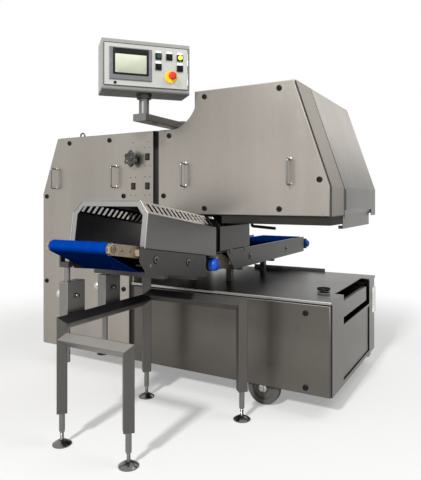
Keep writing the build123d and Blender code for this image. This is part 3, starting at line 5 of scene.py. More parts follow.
import bmesh
import bpy
import numpy as np
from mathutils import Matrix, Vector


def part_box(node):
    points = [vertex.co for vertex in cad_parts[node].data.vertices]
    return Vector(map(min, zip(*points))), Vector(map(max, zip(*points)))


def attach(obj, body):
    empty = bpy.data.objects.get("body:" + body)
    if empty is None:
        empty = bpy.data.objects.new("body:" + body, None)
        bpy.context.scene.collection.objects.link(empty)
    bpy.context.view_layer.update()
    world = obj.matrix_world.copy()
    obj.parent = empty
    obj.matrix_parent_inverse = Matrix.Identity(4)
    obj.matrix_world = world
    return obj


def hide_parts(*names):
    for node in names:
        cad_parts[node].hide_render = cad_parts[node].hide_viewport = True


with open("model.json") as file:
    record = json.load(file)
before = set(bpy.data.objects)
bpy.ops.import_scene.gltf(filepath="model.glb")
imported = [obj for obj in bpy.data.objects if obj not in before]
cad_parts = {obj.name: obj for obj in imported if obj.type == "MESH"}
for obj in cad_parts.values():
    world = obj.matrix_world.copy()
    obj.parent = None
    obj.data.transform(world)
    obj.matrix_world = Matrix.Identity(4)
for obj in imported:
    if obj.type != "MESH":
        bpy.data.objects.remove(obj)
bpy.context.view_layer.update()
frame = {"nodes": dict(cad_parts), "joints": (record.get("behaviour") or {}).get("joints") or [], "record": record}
JOINTS = {joint["name"]: joint for joint in frame["joints"]}
BODIES = frame["record"]["behaviour"]["bodies"]
BODY_OF = {node: body for body, nodes in BODIES.items() for node in nodes}
SLOT_OF = {row["node"]: row["material_slot"] for row in frame["record"]["subparts"]}

bl_info = {
    "name": "Dough divider looks",
    "version": (1, 0, 0),
    "blender": (4, 5, 0),
    "location": "3D View > Sidebar > Divider",
    "description": "Dresses the dough divider's CAD pieces with finishes, fittings and a studio",
    "category": "Object",
}

# Directions; the control box faces against the push of its start button
RIGHT, BEHIND, UP = np.eye(3)
FRONT = -BEHIND
BOX_NORMAL = -np.array(JOINTS["start_button_press"]["axis"], float)
BOX_RIGHT = np.array([-BOX_NORMAL[1], BOX_NORMAL[0], 0.0])

# Points nearer than this are one point, or lie in one plane
SAME_POINT = 2e-6
SAME_PLANE = 2e-5

# Corner radii and edges are no smaller than this
LEAST_SIZE = 1e-5

# A fold parts its faces by this angle or more, and its faces are larger than this area
FOLD_ANGLE = radians(30)
FOLD_AREA = 1e-6

# A face is level, or looks a given way, when that part of its normal is over this
LEVEL_FACE = 0.6
FACING = 0.9

# Sections of turned pieces: (radius, height) pairs as shares of the piece's size
SECTIONS = {
    "screw": [
        (0, 0), (1, 0), (1, 0.2), (0.86, 0.5), (0.6, 0.66), (0.42, 0.68), (0.38, 0.3), (0, 0.3),
    ],
    "lock": [(0, 0), (1, 0), (1, 0.55), (0.94, 0.85), (0.82, 1), (0.66, 1), (0.58, 0.6), (0, 0.6)],
    "mushroom": [
        (0, 0), (0.55, 0), (0.5, 0.42), (0.86, 0.48), (0.98, 0.56), (1, 0.68), (0.94, 0.84),
        (0.74, 0.95), (0.4, 1), (0, 1),
    ],
    "cuff": [
        (0.8, 0), (1.12, 0), (1.12, -0.3), (1.06, -0.36), (1.06, -0.5), (0.8, -0.5), (0.8, 0),
    ],
    "star": [
        (0, 0), (0.3, 0), (0.75, 0), (0.9, 0.12), (0.96, 0.3), (0.96, 0.68), (0.9, 0.88), (0.78, 1),
        (0.6, 0.98), (0.5, 0.8), (0.34, 0.76), (0.3, 0.9), (0.24, 0.96), (0, 0.96),
    ],
    "bearing": [
        (0, 0), (0.66, 0), (0.66, 0.08), (0.6, 0.14), (0.42, 0.14), (0.4, 0.06), (0.2, 0.06),
        (0.18, 0.1), (0, 0.1),
    ],
    "collar": [
        (0.5, 0), (1.12, 0), (1.12, 0.24), (1.06, 0.28), (1.06, 0.4), (0.5, 0.4), (0.5, 0),
    ],
    "nut": [(0, 0), (1, 0), (1, 0.9), (0, 0.9)],
    "disc": [(0, 0), (1, 0), (1, 0.5), (0.75, 1), (0, 1)],
    "cap": [(0, 1), (0.6, 0.9), (0.95, 0.5), (1, 0), (0, 0)],
    "grommet": [
        (0.99, -0.3), (0.99, 0.015), (1.02, 0.025), (1.09, 0.02), (1.1, 0), (1.05, -0.02),
        (0.99, -0.3),
    ],
    "eye_foot": [(0, 0), (0.9, 0), (0.9, 0.1), (0.7, 0.2), (0, 0.2)],
}

# Thickness, corner radius and edge radius of plates
PLATES = {
    "bezel": (0.001, 0.004, 0.0006),
    "page": (0.0006, 0.002, 0.0002),
    "label": (0.0012, 0.001, 0.0004),
    "slit": (0.0004, 0.001, 0.0002),
    "gauge": (0.0008, 0.0015, 0.0003),
    "slot": (0.0006, 0.0158, 0.0002),
    "washer": (0.0008, 0.0122, 0.0002),
    "grip_end": (0.002, 0.004, 0.0006),
    "strip": (0.0015, 0.001, 0.0005),
    "buffer": (0.009, 0.006, 0.003),
}


# Places read from the frame
def corners(node):
    """Lowest and highest corner of a node, as arrays."""
    low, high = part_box(node)
    return np.array(low), np.array(high)


def gather(items, key, shape=-1, kind=float):
    """One value of each point, edge, face or corner of a mesh, as an array; the open side of its
    shape, -1, counts them."""
    values = np.empty(len(items) * abs(np.prod(shape)), kind)
    items.foreach_get(key, values)
    return values.reshape(shape)


def mesh_arrays(mesh):
    """A mesh's points and the point numbers at its edges' ends, as arrays."""
    points = gather(mesh.vertices, "co", (-1, 3))
    return points, gather(mesh.edges, "vertices", (-1, 2), int)


def node_points(node):
    """The points of a node's mesh, as an array."""
    return gather(frame["nodes"][node].data.vertices, "co", (-1, 3))


def solid_boxes(node):
    """Lowest and highest corners of each separate solid of a node: every point starts with its own
    label, and the lowest label spreads along the edges until none changes."""
    points, edges = mesh_arrays(frame["nodes"][node].data)
    _, merged = np.unique(np.round(points, 5), axis=0, return_inverse=True)
    merged = merged.ravel()
    ends = merged[edges]
    label = np.arange(merged.max() + 1)
    while True:
        spread = label.copy()
        np.minimum.at(spread, ends, label[ends].min(axis=1)[:, None])
        if (spread == label).all():
            break
        label = spread
    kinds = label[merged]
    solids = [points[kinds == kind] for kind in np.unique(kinds)]
    boxes = [(solid.min(axis=0), solid.max(axis=0)) for solid in solids]
    return sorted(boxes, key=lambda box: tuple(np.round(box[0], 4)))


# Surfaces worked out on grids
def unit(vectors):
    """Vectors divided by their lengths."""
    return vectors / np.linalg.norm(vectors, axis=-1, keepdims=True)


def grid(points, wrap_rows=False, wrap_cols=False):
    """Quads between neighbours of a rows by columns grid, joined round where a side wraps."""
    rows, cols = points.shape[:2]
    r = np.arange(rows if wrap_rows else rows - 1)[:, None]
    c = np.arange(cols if wrap_cols else cols - 1)[None, :]
    r2, c2 = (r + 1) % rows, (c + 1) % cols
    faces = np.stack([r * cols + c, r2 * cols + c, r2 * cols + c2, r * cols + c2], axis=-1)
    return points.reshape(-1, 3), faces.reshape(-1, 4)


def lathe(profile, centre, axis, steps):
    """(Radius, height) pairs turned about an axis: centre + r cos u e1 + r sin u e2 + h axis."""
    profile = np.asarray(profile, float)
    axis = unit(axis)
    first = unit(np.cross(axis, UP if abs(axis[2]) < 0.9 else RIGHT))
    second = np.cross(axis, first)
    u = np.linspace(0, 2 * np.pi, steps, endpoint=False)
    round_part = np.cos(u)[:, None] * first + np.sin(u)[:, None] * second
    points = centre + profile[:, None, :1] * round_part + profile[:, None, 1:] * axis
    return grid(points, wrap_cols=True)


def turned(section, size, centre, axis, steps):
    """A section of the table times its size, or its radius and height, turned about an axis."""
    return lathe(np.array(SECTIONS[section]) * np.array(size), centre, axis, steps)


def tube(path, radius, reference, steps, closed=False, squash=1.0):
    """A round section carried along a path: path + r cos v side + r squash sin v lift; the ends of
    an open path shrink to points."""
    path = np.asarray(path, float)
    if closed:
        tangent = unit(np.roll(path, -1, axis=0) - np.roll(path, 1, axis=0))
    else:
        tangent = unit(np.gradient(path, axis=0))
    side = unit(np.cross(tangent, reference))
    lift = squash * np.cross(side, tangent)
    v = np.linspace(0, 2 * np.pi, steps, endpoint=False)[None, :, None]
    points = path[:, None] + radius * (np.cos(v) * side[:, None] + np.sin(v) * lift[:, None])
    if not closed:
        ends = path[[0, -1], None].repeat(steps, 1)
        points = np.concatenate([ends[:1], points, ends[1:]])
    return grid(points, wrap_rows=closed, wrap_cols=True)


def outline(width, height, corner):
    """A rectangle with round corners, as points on four quarter circles in turn."""
    quarters = np.arange(4)[:, None] * np.pi / 2 + np.linspace(0, np.pi / 2, 5)
    across = np.array([1, -1, -1, 1])[:, None] * (width / 2 - corner) + corner * np.cos(quarters)
    along = np.array([1, 1, -1, -1])[:, None] * (height / 2 - corner) + corner * np.sin(quarters)
    return across.ravel(), along.ravel()


def plate(centre, right, up, size, form):
    """A plate with round corners and a rounded front edge: rings of its outline, drawn in as they
    rise, from the middle of its back to the middle of its front."""
    depth, corner, edge = form
    worn = 0.3 * edge
    rings = []
    for share, shrink, lift in (
        (0, 0, 0), (1, 0, 0), (1, 0, depth - edge), (1, worn, depth - worn), (1, edge, depth),
        (0, 0, depth),
    ):
        width, height = size[0] - 2 * shrink, size[1] - 2 * shrink
        across, along = outline(width, height, max(corner - shrink, LEAST_SIZE))
        ring = across[:, None] * right + along[:, None] * up
        rings.append(share * ring + lift * np.cross(right, up))
    return grid(centre + np.array(rings), wrap_cols=True)


def screw(centre, axis, radius):
    """A button-head screw with a round socket."""
    return turned("screw", radius, centre, axis, 20)


def add_object(name, data):
    """A new object of a mesh, lamp or camera, linked to the scene."""
    thing = bpy.data.objects.new(name, data)
    bpy.context.scene.collection.objects.link(thing)
    return thing


def piece(name, parts, finish, body="machine", replaced=None, crease=38.0):
    """One object from several surfaces: doubles merged, normals outwards, smooth under a crease."""
    offsets = np.cumsum([0] + [len(points) for points, _ in parts[:-1]])
    points = np.concatenate([points for points, _ in parts])
    faces = np.concatenate([faces + offset for (_, faces), offset in zip(parts, offsets)])
    mesh = bpy.data.meshes.new(name)
    mesh.from_pydata(points.tolist(), [], faces.tolist())
    work = bmesh.new()
    work.from_mesh(mesh)
    bmesh.ops.remove_doubles(work, verts=work.verts, dist=SAME_POINT)
    bmesh.ops.recalc_face_normals(work, faces=work.faces)
    work.to_mesh(mesh)
    work.free()
    mesh.shade_smooth()
    mesh.set_sharp_from_angle(angle=radians(crease))
    mesh.materials.append(FINISHES[finish])
    thing = add_object(name, mesh)
    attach(thing, body)
    if replaced:
        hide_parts(replaced)


# Shader maths
class Field:
    """A socket of a node tree; arithmetic on it adds Math nodes."""

    def __init__(self, nodes, socket):
        self.nodes, self.socket = nodes, socket

    def math(self, operation, left, right):
        """A Math node of two values."""
        return self.nodes.add("ShaderNodeMath", {"operation": operation}, {0: left, 1: right})

    def __add__(self, other):
        return self.math("ADD", self, other)

    __radd__ = __add__

    def __sub__(self, other):
        return self.math("SUBTRACT", self, other)

    def __rsub__(self, other):
        return self.math("SUBTRACT", other, self)

    def __mul__(self, other):
        return self.math("MULTIPLY", self, other)

    __rmul__ = __mul__

    def __gt__(self, other):
        return self.math("GREATER_THAN", self, other)

    def __abs__(self):
        return self.math("ABSOLUTE", self, 0)

    def fade(self, low, high):
        """0 below low, 1 above high and smooth between."""
        inputs = {"Value": self, "From Min": low, "From Max": high}
        return self.nodes.add("ShaderNodeMapRange", {"interpolation_type": "SMOOTHSTEP"}, inputs)


class Nodes:
    """A node tree with a short way to add nodes to it."""

    def __init__(self, tree):
        self.tree = tree

    def add(self, kind, settings=None, inputs=None, out=0):
        """A node of a kind: its settings first, then values or links for its sockets."""
        node = self.tree.nodes.new(kind)
        for key, value in (settings or {}).items():
            setattr(node, key, value)
        for key, value in (inputs or {}).items():
            self.feed(node.inputs[key], value)
        return Field(self, node.outputs[out])

    def feed(self, socket, value):
        """Links a field to a socket, or sets its value; a colour without alpha is made opaque."""
        if isinstance(value, Field):
            self.tree.links.new(value.socket, socket)
            return
        held = socket.default_value
        opaque = hasattr(held, "__len__") and len(held) == 4 and len(value) == 3
        socket.default_value = (*value, 1.0) if opaque else value

    def rays(self):
        """Camera rays, and glossy and clear rays that show the surroundings in metal and glass."""
        path = self.tree.nodes.new("ShaderNodeLightPath").outputs
        kinds = ("Camera", "Glossy", "Transmission")
        camera, glossy, clear = (Field(self, path[f"Is {kind} Ray"]) for kind in kinds)
        return camera, glossy + clear

    def surface(self, factor, first, second, output):
        """Links a mix of two shaders to the tree's output."""
        mixed = self.add("ShaderNodeMixShader", None, {0: factor, 1: first, 2: second})
        self.tree.links.new(mixed.socket, self.tree.nodes[output].inputs["Surface"])


class Finish(Nodes):
    """A material with one Principled shader."""

    def __init__(self, name):
        self.material = bpy.data.materials.new(name)
        self.material.use_nodes = True
        super().__init__(self.material.node_tree)
        self.shader = self.tree.nodes["Principled BSDF"]
        self.place = self.add("ShaderNodeTexCoord", out="Object")

    def set(self, **inputs):
        """Feeds the shader's sockets, named with _ for a space, and gives the material."""
        for key, value in inputs.items():
            self.feed(self.shader.inputs[key.replace("_", " ")], value)
        return self.material

    def upward(self, output):
        """Upward part of the Object or Normal coordinate."""
        vector = self.add("ShaderNodeTexCoord", out=output)
        return self.add("ShaderNodeSeparateXYZ", None, {0: vector}, "Z")

    def noise(self, scale, detail, stretch=(1, 1, 1)):
        """Noise of a scale, with its coordinates stretched."""
        inputs = {"Vector": self.place, "Scale": stretch}
        where = self.add("ShaderNodeMapping", None, inputs, "Vector")
        inputs = {"Vector": where, "Scale": scale, "Detail": detail}
        return self.add("ShaderNodeTexNoise", None, inputs, "Fac")

    def streaks(self, axis, along, across, detail):
        """Noise with one scale along an axis and another across it."""
        return self.noise(1.0, detail, tuple(along if side == axis else across for side in "XYZ"))

    def mix(self, factor, low, high):
        """A colour between two colours."""
        return self.add("ShaderNodeMix", {"data_type": "RGBA"}, {0: factor, 6: low, 7: high}, 2)

    def tints(self, factor, colour, low, high):
        """A colour between two shares of one colour."""
        return self.mix(factor, shade(colour, low), shade(colour, high))

    def times(self, colour, factor, low, high):
        """A colour times a number that goes from low to high with a factor."""
        number = low + (high - low) * factor
        grey = self.add("ShaderNodeCombineXYZ", None, {0: number, 1: number, 2: number})
        return self.add("ShaderNodeVectorMath", {"operation": "MULTIPLY"}, {0: colour, 1: grey})

    def bump(self, height, strength, distance):
        """A normal tilted by a height field."""
        inputs = {"Strength": strength, "Distance": distance, "Height": height}
        return self.add("ShaderNodeBump", None, inputs, "Normal")


def shade(colour, factor):
    """A colour times a factor, with no channel over one."""
    return tuple(min(1.0, channel * factor) for channel in colour)


def brushed_steel(
    name, colour, lengthwise, roughness=0.34, contrast=0.16, flat=1.0, levels=(), relief=0.12,
    graze=1.0,
):
    """Brushed sheet: thin lines along one direction, others on level faces, and wide streaks along it
    that paint in reflections, with clouds of wiping marks. Level faces take the flat share of the
    colour as painted light or shade, each band of heights takes it from one share to another as
    painted light and shade, and graze is the share of light thrown back at a glance."""
    f = Finish(name)
    level = abs(f.upward("Normal")) > LEVEL_FACE
    upright_lines = f.streaks(lengthwise, 14, 1400, 2.0)
    lines = level * f.streaks("X", 12, 1400, 2.0) + (1 - level) * upright_lines
    clouds = f.noise(3.2, 4.0, (1, 1, 0.6))
    spots = f.noise(38.0, 3.0, (1, 1, 0.5)).fade(0.58, 0.78)
    # Wide streaks along the brushing: painted reflections
    painted_reflection_streaks = f.streaks(lengthwise, 0.35, 5.5, 3.0).fade(0.25, 0.75)
    tone = 0.3 * lines + 0.3 * clouds + 0.4 * painted_reflection_streaks
    tint = f.tints(tone, colour, 1 - contrast, 1 + contrast)
    # Level faces at the flat share of the colour: painted light or shade on their tops
    if flat != 1.0:
        tint = f.times(tint, level, 1.0, flat)
    # Bands of height, each from one share of the colour to another: painted light and shade
    for low, high, low_share, high_share in levels:
        tint = f.times(tint, f.upward("Object").fade(low, high), low_share, high_share)
    return f.set(
        Base_Color=f.times(tint, spots, 1.0, 0.93), Metallic=1.0,
        Roughness=roughness - 0.1 + 0.12 * lines + 0.1 * clouds + 0.06 * spots,
        Normal=f.bump(lines, relief, 0.0004), Specular_Tint=(graze, graze, graze),
    )


def polished_steel(name, colour):
    """Turned and polished steel: faint smears over fine turning rings."""
    f = Finish(name)
    smear = f.noise(22.0, 4.0, (1, 1, 2.5))
    rings = f.streaks("Z", 2200, 30, 1.0)
    return f.set(
        Base_Color=f.tints(smear, colour, 0.86, 1.06), Metallic=1.0,
        Roughness=0.1 + 0.14 * smear + 0.05 * rings, Normal=f.bump(rings, 0.06, 0.0003),
    )


def moulded_plastic(name, colour, roughness, coat=0.0, shine=0.25):
    """Moulded plastic: an even grain with lighter rubbed places."""
    f = Finish(name)
    grain = f.noise(2600.0, 2.0)
    rubbed = f.noise(26.0, 4.0).fade(0.5, 0.75)
    return f.set(
        Base_Color=f.tints(rubbed, colour, 1.0, 1.3), Coat_Weight=coat, Specular_IOR_Level=shine,
        Roughness=roughness - 0.08 * rubbed + 0.06 * grain, Normal=f.bump(grain, 0.1, 0.0002),
    )


def belt_cloth(name, colour):
    """Coated belt cloth: a fine weave of two waves, dusty lanes along the run, and painted shade where it faces
    down.
    """
    f = Finish(name)
    waves = {"Vector": f.place, "Scale": 260.0}
    across = f.add("ShaderNodeTexWave", {"bands_direction": "X"}, waves, "Fac")
    along = f.add("ShaderNodeTexWave", {"bands_direction": "Y"}, waves, "Fac")
    lanes = f.streaks("X", 42, 1.5, 3.0)
    dust = f.noise(60.0, 5.0).fade(0.55, 0.8)
    # Faces that look down take a small share of the colour: painted shade under the belt
    upper = f.upward("Normal").fade(-0.95, 0.25)
    tint = f.mix(upper, shade(colour, 0.18), f.tints(lanes, colour, 0.75, 1.25))
    pale = tuple(0.9 * channel + 0.015 for channel in colour)
    return f.set(
        Base_Color=f.mix(0.5 * dust, tint, pale), Roughness=0.5 + 0.16 * lanes + 0.1 * dust,
        Specular_IOR_Level=0.0, Normal=f.bump(across * along, 0.15, 0.0004),
    )


def satin_paint(name, colour):
    """Sprayed satin paint with a light orange-peel skin."""
    f = Finish(name)
    peel, age = f.noise(420.0, 2.0), f.noise(7.0, 4.0)
    return f.set(
        Base_Color=f.tints(age, colour, 0.88, 1.1), Roughness=0.36 + 0.12 * age,
        Normal=f.bump(peel, 0.12, 0.0006),
    )


def lit_plastic(name, colour, glow):
    """Lit plastic: glossy, with a mottled glow of its own colour; the signal button is a lamp, the label plates'
    glow is painted light.
    """
    f = Finish(name)
    mottle = f.noise(320.0, 2.0)
    return f.set(
        Base_Color=f.tints(mottle, colour, 0.9, 1.05), Roughness=0.24 + 0.08 * mottle,
        Emission_Color=f.tints(mottle, colour, 0.9, 1.1), Emission_Strength=glow,
    )


def display_glass(name, colour):
    """The display's screen: a pale page, brighter towards its top, with soft clouds."""
    f = Finish(name)
    low, high = corners("display_panel")
    bright = f.upward("Object").fade(low[2], high[2])
    soft = f.noise(30.0, 2.0)
    page = f.tints(0.75 * bright + 0.25 * soft, colour, 0.6, 1.35)
    return f.set(
        Base_Color=page, Roughness=0.2 + 0.06 * soft, Emission_Color=page, Emission_Strength=0.25
    )


# Settings that a user may change
def colour(label, words, value):
    """A colour setting."""
    return bpy.props.FloatVectorProperty(
        name=label, description=words, subtype="COLOR", size=3, min=0.0, max=1.0, default=value
    )


def length(label, words, value):
    """A length setting."""
    return bpy.props.FloatProperty(
        name=label, description=words, unit="LENGTH", min=0.0002, default=value
    )


def lengths(label, words, value):
    """A setting of two or three lengths."""
    return bpy.props.FloatVectorProperty(
        name=label, description=words, subtype="XYZ", unit="LENGTH", size=len(value), default=value
    )


def number(label, words, value, unit="NONE"):
    """A plain number, or one with a unit."""
    return bpy.props.FloatProperty(name=label, description=words, unit=unit, default=value)


class DividerColours(bpy.types.PropertyGroup):
    """Colours of the divider's finishes."""

    steel: colour("Steel", "Brushed steel of the cabinet and head", (0.345, 0.318, 0.286))
    box_steel: colour("Box steel", "Door of the control box", (0.56, 0.56, 0.53))
    case_steel: colour("Case steel", "Shell of the control box", (0.36, 0.36, 0.345))
    arm_steel: colour("Arm steel", "Arm and post of the control box", (0.2, 0.197, 0.19))
    tube_steel: colour("Tube steel", "Sawn tubes of the stand", (0.108, 0.103, 0.096))
    # The guard steel is a dark share of the steel: painted shade on the throat guard and the conveyor's plates,
    # which sit under the head and hood; it also darkens the base panel's rounded edge and the cover grip's end
    shaded_guard_steel: colour("Guard steel", "Throat guard and conveyor plates", (0.09, 0.087, 0.084))
    # The base steel is the steel darkened as painted shade on the base, its top, its drawer and the swivel cuff
    shaded_base_steel: colour("Base steel", "Darker brushed steel of the base", (0.122, 0.113, 0.101))
    hood_steel: colour("Hood steel", "Brushed steel of the hood", (0.16, 0.156, 0.15))
    polished: colour("Polished steel", "Axle, wheel caps and handles", (0.42, 0.415, 0.4))
    black: colour("Black plastic", "Locks, holders and dark fittings", (0.008, 0.008, 0.0085))
    grip: colour("Grip", "Star grip of the handwheel", (0.026, 0.026, 0.027))
    belt: colour("Belt", "Coated belt cloth", (0.0004, 0.034, 0.25))
    roller: colour("Roller", "Belt rollers and their end caps", (0.012, 0.085, 0.5))
    tan: colour("Bearing plastic", "Roller arms", (0.27, 0.22, 0.16))
    wheel: colour("Wheel", "Transport wheels", (0.075, 0.073, 0.068))
    white: colour("White plastic", "Dividing drum and feed rollers", (0.76, 0.76, 0.73))
    motor: colour("Motor paint", "Gearmotor", (0.2, 0.21, 0.23))
    bezel: colour("Display frame", "Frame round the screen", (0.15, 0.153, 0.16))
    screen: colour("Screen", "Pale display page", (0.4, 0.43, 0.33))
    start: colour("Start button", "Green push button", (0.006, 0.06, 0.036))
    signal: colour("Signal button", "Lit yellow push button", (0.7, 0.7, 0.08))
    collar: colour("Stop collar", "Yellow disc under the stop button", (0.82, 0.58, 0.02))
    stop: colour("Stop button", "Red mushroom head", (0.66, 0.03, 0.015))
    label: colour("Label plate", "Bare plates over the buttons", (0.93, 0.93, 0.92))
    # The rim colour paints a highlight on the hood's front and the base top's front and edge, and a shade line on
    # the box door's rounded edge
    rim: colour("Hood rim", "Front of the hood, edges of box and base", (0.34, 0.333, 0.315))
    # The edge colour on rounded edges is partly wear and partly painted light and shade: lighter than the drawer
    # and clamps it rounds, darker than the cabinet panel
    edge: colour("Worn edge", "Rounded edges of sheets and clamps", (0.26, 0.252, 0.238))
    clamp: colour("Clamp steel", "Rod clamps of the stand", (0.22, 0.213, 0.202))
    feet: colour("Foot steel", "Levelling feet, bolts and screws", (0.19, 0.188, 0.182))
    # One dark colour for real dark joints, gauge faces and the door's seal line, and for painted shade that fills
    # the wide gaps beside the panels and the louvres' openings
    rubber: colour("Joint strip", "Dark strips between the panels", (0.018, 0.017, 0.015))
    brass: colour("Bearing ring", "Rings at the nose roller's ends", (0.2, 0.155, 0.095))


class FittingSizes(bpy.types.PropertyGroup):
    """Sizes of the small fittings."""

    screw_radius: length("Screw radius", "Radius of the conveyor's screws", 0.0075)
    thread_pitch: length("Thread pitch", "Rise of a foot's thread in one turn", 0.004)
    lock_swell: number("Lock swell", "Lock heads' size over their pins", 1.18)
    grip_swell: number("Grip swell", "Star grip's size over its wheel", 1.12)
    grip_depth: length("Grip depth", "Depth of the star grip", 0.02)
    arm_outer: length("Arm outer", "Roller arms' outer faces from the belt's middle", 0.162)
    ball_radius: length("Ball radius", "Radius of the clamps' ball knobs", 0.019)
    mushroom: lengths("Mushroom", "Radius and height of the stop button's head", (0.0195, 0.038))
    eye_radius: length("Eye radius", "Middle radius of the lifting eye's ring", 0.0155)
    louvre_count: bpy.props.IntProperty(
        name="Louvre count", description="Louvres in the closed end", default=9
    )
    louvre: lengths("Louvre", "Length, upward distance and lip of louvres", (0.26, 0.028, 0.007))
    louvre_low: lengths("Louvre low", "Setback and level of the lowest louvre", (0.117, 0.24))
    seal: lengths("Seal", "Near and far side of the dark line round the door", (0.0013, 0.0038))
    seal_rise: length("Seal rise", "Thickness of the dark line round the door", 0.0005)
    label: lengths("Label", "Width and height of a bare label plate", (0.026, 0.011))
    rosette: lengths("Rosette", "Radius and height of a disc under a handle", (0.0095, 0.003))
    fold_radius: length("Fold radius", "Outer radius of a folded sheet edge", 0.003)
    tube_radius: length("Tube radius", "Corner radius of the stand's tubes", 0.0025)
    tube_side: length("Tube side", "Side of the stand's square tubes", 0.04)
    bezel: lengths("Bezel", "Width and height of the screen's bezel", (0.169, 0.124))
    bezel_lift: length("Bezel lift", "Shift of the bezel over the display's middle", 0.009)
    page: lengths("Page", "Width and height of the lit page", (0.147, 0.087))
    holder_depth: length("Holder depth", "Height of a button holder over the door", 0.007)
    box_rim_low: length("Box rim", "Height of the control box under its door", 0.027)
    cuff_radius: length("Cuff radius", "Radius of the swivel's cuff", 0.034)
    rivet_radius: length("Rivet radius", "Radius of the rivets round the gauges", 0.0026)
    rivet_from: lengths("Rivet place", "A rivet's way across and up from a gauge", (0.016, 0.048))
    slot: lengths("Slot", "Length and height of a plate's slot", (0.032, 0.036))
    washer: lengths("Washer", "Length and height of a slot's washer", (0.025, 0.03))
    bearing_radius: length("Bearing radius", "Radius of the nose roller's caps", 0.0215)
    belt_half: length("Belt half", "Half of a roller between its bearing rings", 0.1455)
    axle_radius: length("Axle radius", "Radius of the rollers' stub axles", 0.006)
    tail_roller: lengths("Tail roller", "Radii of roller, caps and collars", (0.023, 0.031, 0.033))
    far_roller: lengths("Far roller", "Radii of roller, caps and collars", (0.046, 0.025, 0.036))
    collars: lengths("Collars", "Width of the tail and far roller's collars", (0.014, 0.031))
    belt_slope: number("Belt slope", "Rise of the hooded belt over its run", 0.15)
    chamfer: lengths("Hood chamfer", "Width and height of the slanted corner", (0.043, 0.05))
    rim_width: length("Rim width", "Width of the hood's front rim", 0.024)
    rim_bead: length("Rim bead", "Radius of the bead round the hood's front", 0.0028)
    # The seams under the hood are dark lines of painted shadow
    seam_shadow_radius: length("Seam radius", "Radius of the seams under the hood", 0.0016)
    stem: lengths("Stem", "Levels of a foot's pad and sleeve, stem radius", (0.018, 0.056, 0.006))
    nut_radius: length("Nut radius", "Half width of a foot's lock nut", 0.011)
    bolt_drop: length("Bolt drop", "Distance of a clamp's bolt under its top", 0.0595)
    joint: lengths("Joint", "Reach and half thickness of panels' dark lines", (0.0041, 0.0004))
    cover_line: length("Cover line", "Half width of the line beside the end cover", 0.0026)
    grip_end: lengths("Grip end", "Width and height of the cover grip's end", (0.022, 0.0155))
    panel_gap: length("Panel gap", "Width of the strip beside the base's panel", 0.034)
    wheel_cap: lengths("Wheel cap", "Radius and height of a wheel's cap", (0.02, 0.008))
    drain_radius: length("Drain radius", "Radius of the hole in the base's top", 0.03)
    drain_from: lengths("Drain place", "The hole's way from end and front", (0.102, 0.229))
    buffer: lengths("Buffer", "Width and height of the base's corner buffer", (0.05, 0.143))
    pull_radius: length("Pull radius", "Radius of the rod under the head", 0.0075)


class StageSettings(bpy.types.PropertyGroup):
    """Studio light, floor and camera."""

    key_watts: number("Key light", "Power of the large lamp", 980.0, "POWER")
    fill_watts: number("Fill light", "Power of the side lamp", 62.0, "POWER")
    sky: number("Sky", "Strength of the studio's pale surroundings", 0.34)
    floor: colour("Floor", "Colour of the floor", (0.84, 0.84, 0.83))
    floor_white: number("Floor white", "Share of plain white in the floor near the machine", 0.3)
    lens: number("Lens", "Focal length", 37.65, "CAMERA")
    camera_place: lengths("Camera place", "Where the camera stands", (1.4875, -2.45115, 0.95))
    camera_turn: bpy.props.FloatProperty(
        name="Camera turn", description="Turn about the upright axis", subtype="ANGLE",
        default=radians(29.619),
    )
    camera_shift: number("Camera shift", "Upward shift of the frame", -0.0835)


GROUPS = {
    "divider_colours": DividerColours,
    "divider_fittings": FittingSizes,
    "divider_stage": StageSettings,
}
FINISHES = {}

# Finishes by material slot, and nodes with a finish of their own
SLOT_FINISH = {
    "stainless": "panel", "stainless_dark": "base", "polished_steel": "polished",
    "black_plastic": "black", "wheel_grey": "wheel", "display": "bezel", "green_button": "start",
    "amber_button": "signal", "yellow_plastic": "collar", "red_button": "stop",
    "tan_plastic": "tan", "belt_blue": "belt", "roller_blue": "roller", "white_plastic": "white",
    "motor_grey": "motor",
}
OWN_FINISH = {
    "head_shell": "head", "head_front_panel": "front", "end_cover": "cover", "cover_grip": "cover",
    "panel_handles": "handle", "lifting_eye": "tube", "crumb_drawer": "base", "control_box": "case",
    "box_door": "box", "control_arm": "arm", "arm_pivot": "arm", "hood": "hood",
    "throat_guard": "guard", "outfeed_plates": "guard", "transfer_plates": "guard",
    "conveyor_cross_members": "guard", "transfer_belt": "far_belt", "drive_drum": "feet",
    "levelling_feet": "feet", "stand_uprights": "tube", "stand_rails": "rail",
    "cross_rail": "rail", "rod_clamps": "clamp", "support_rods": "clamp",
}


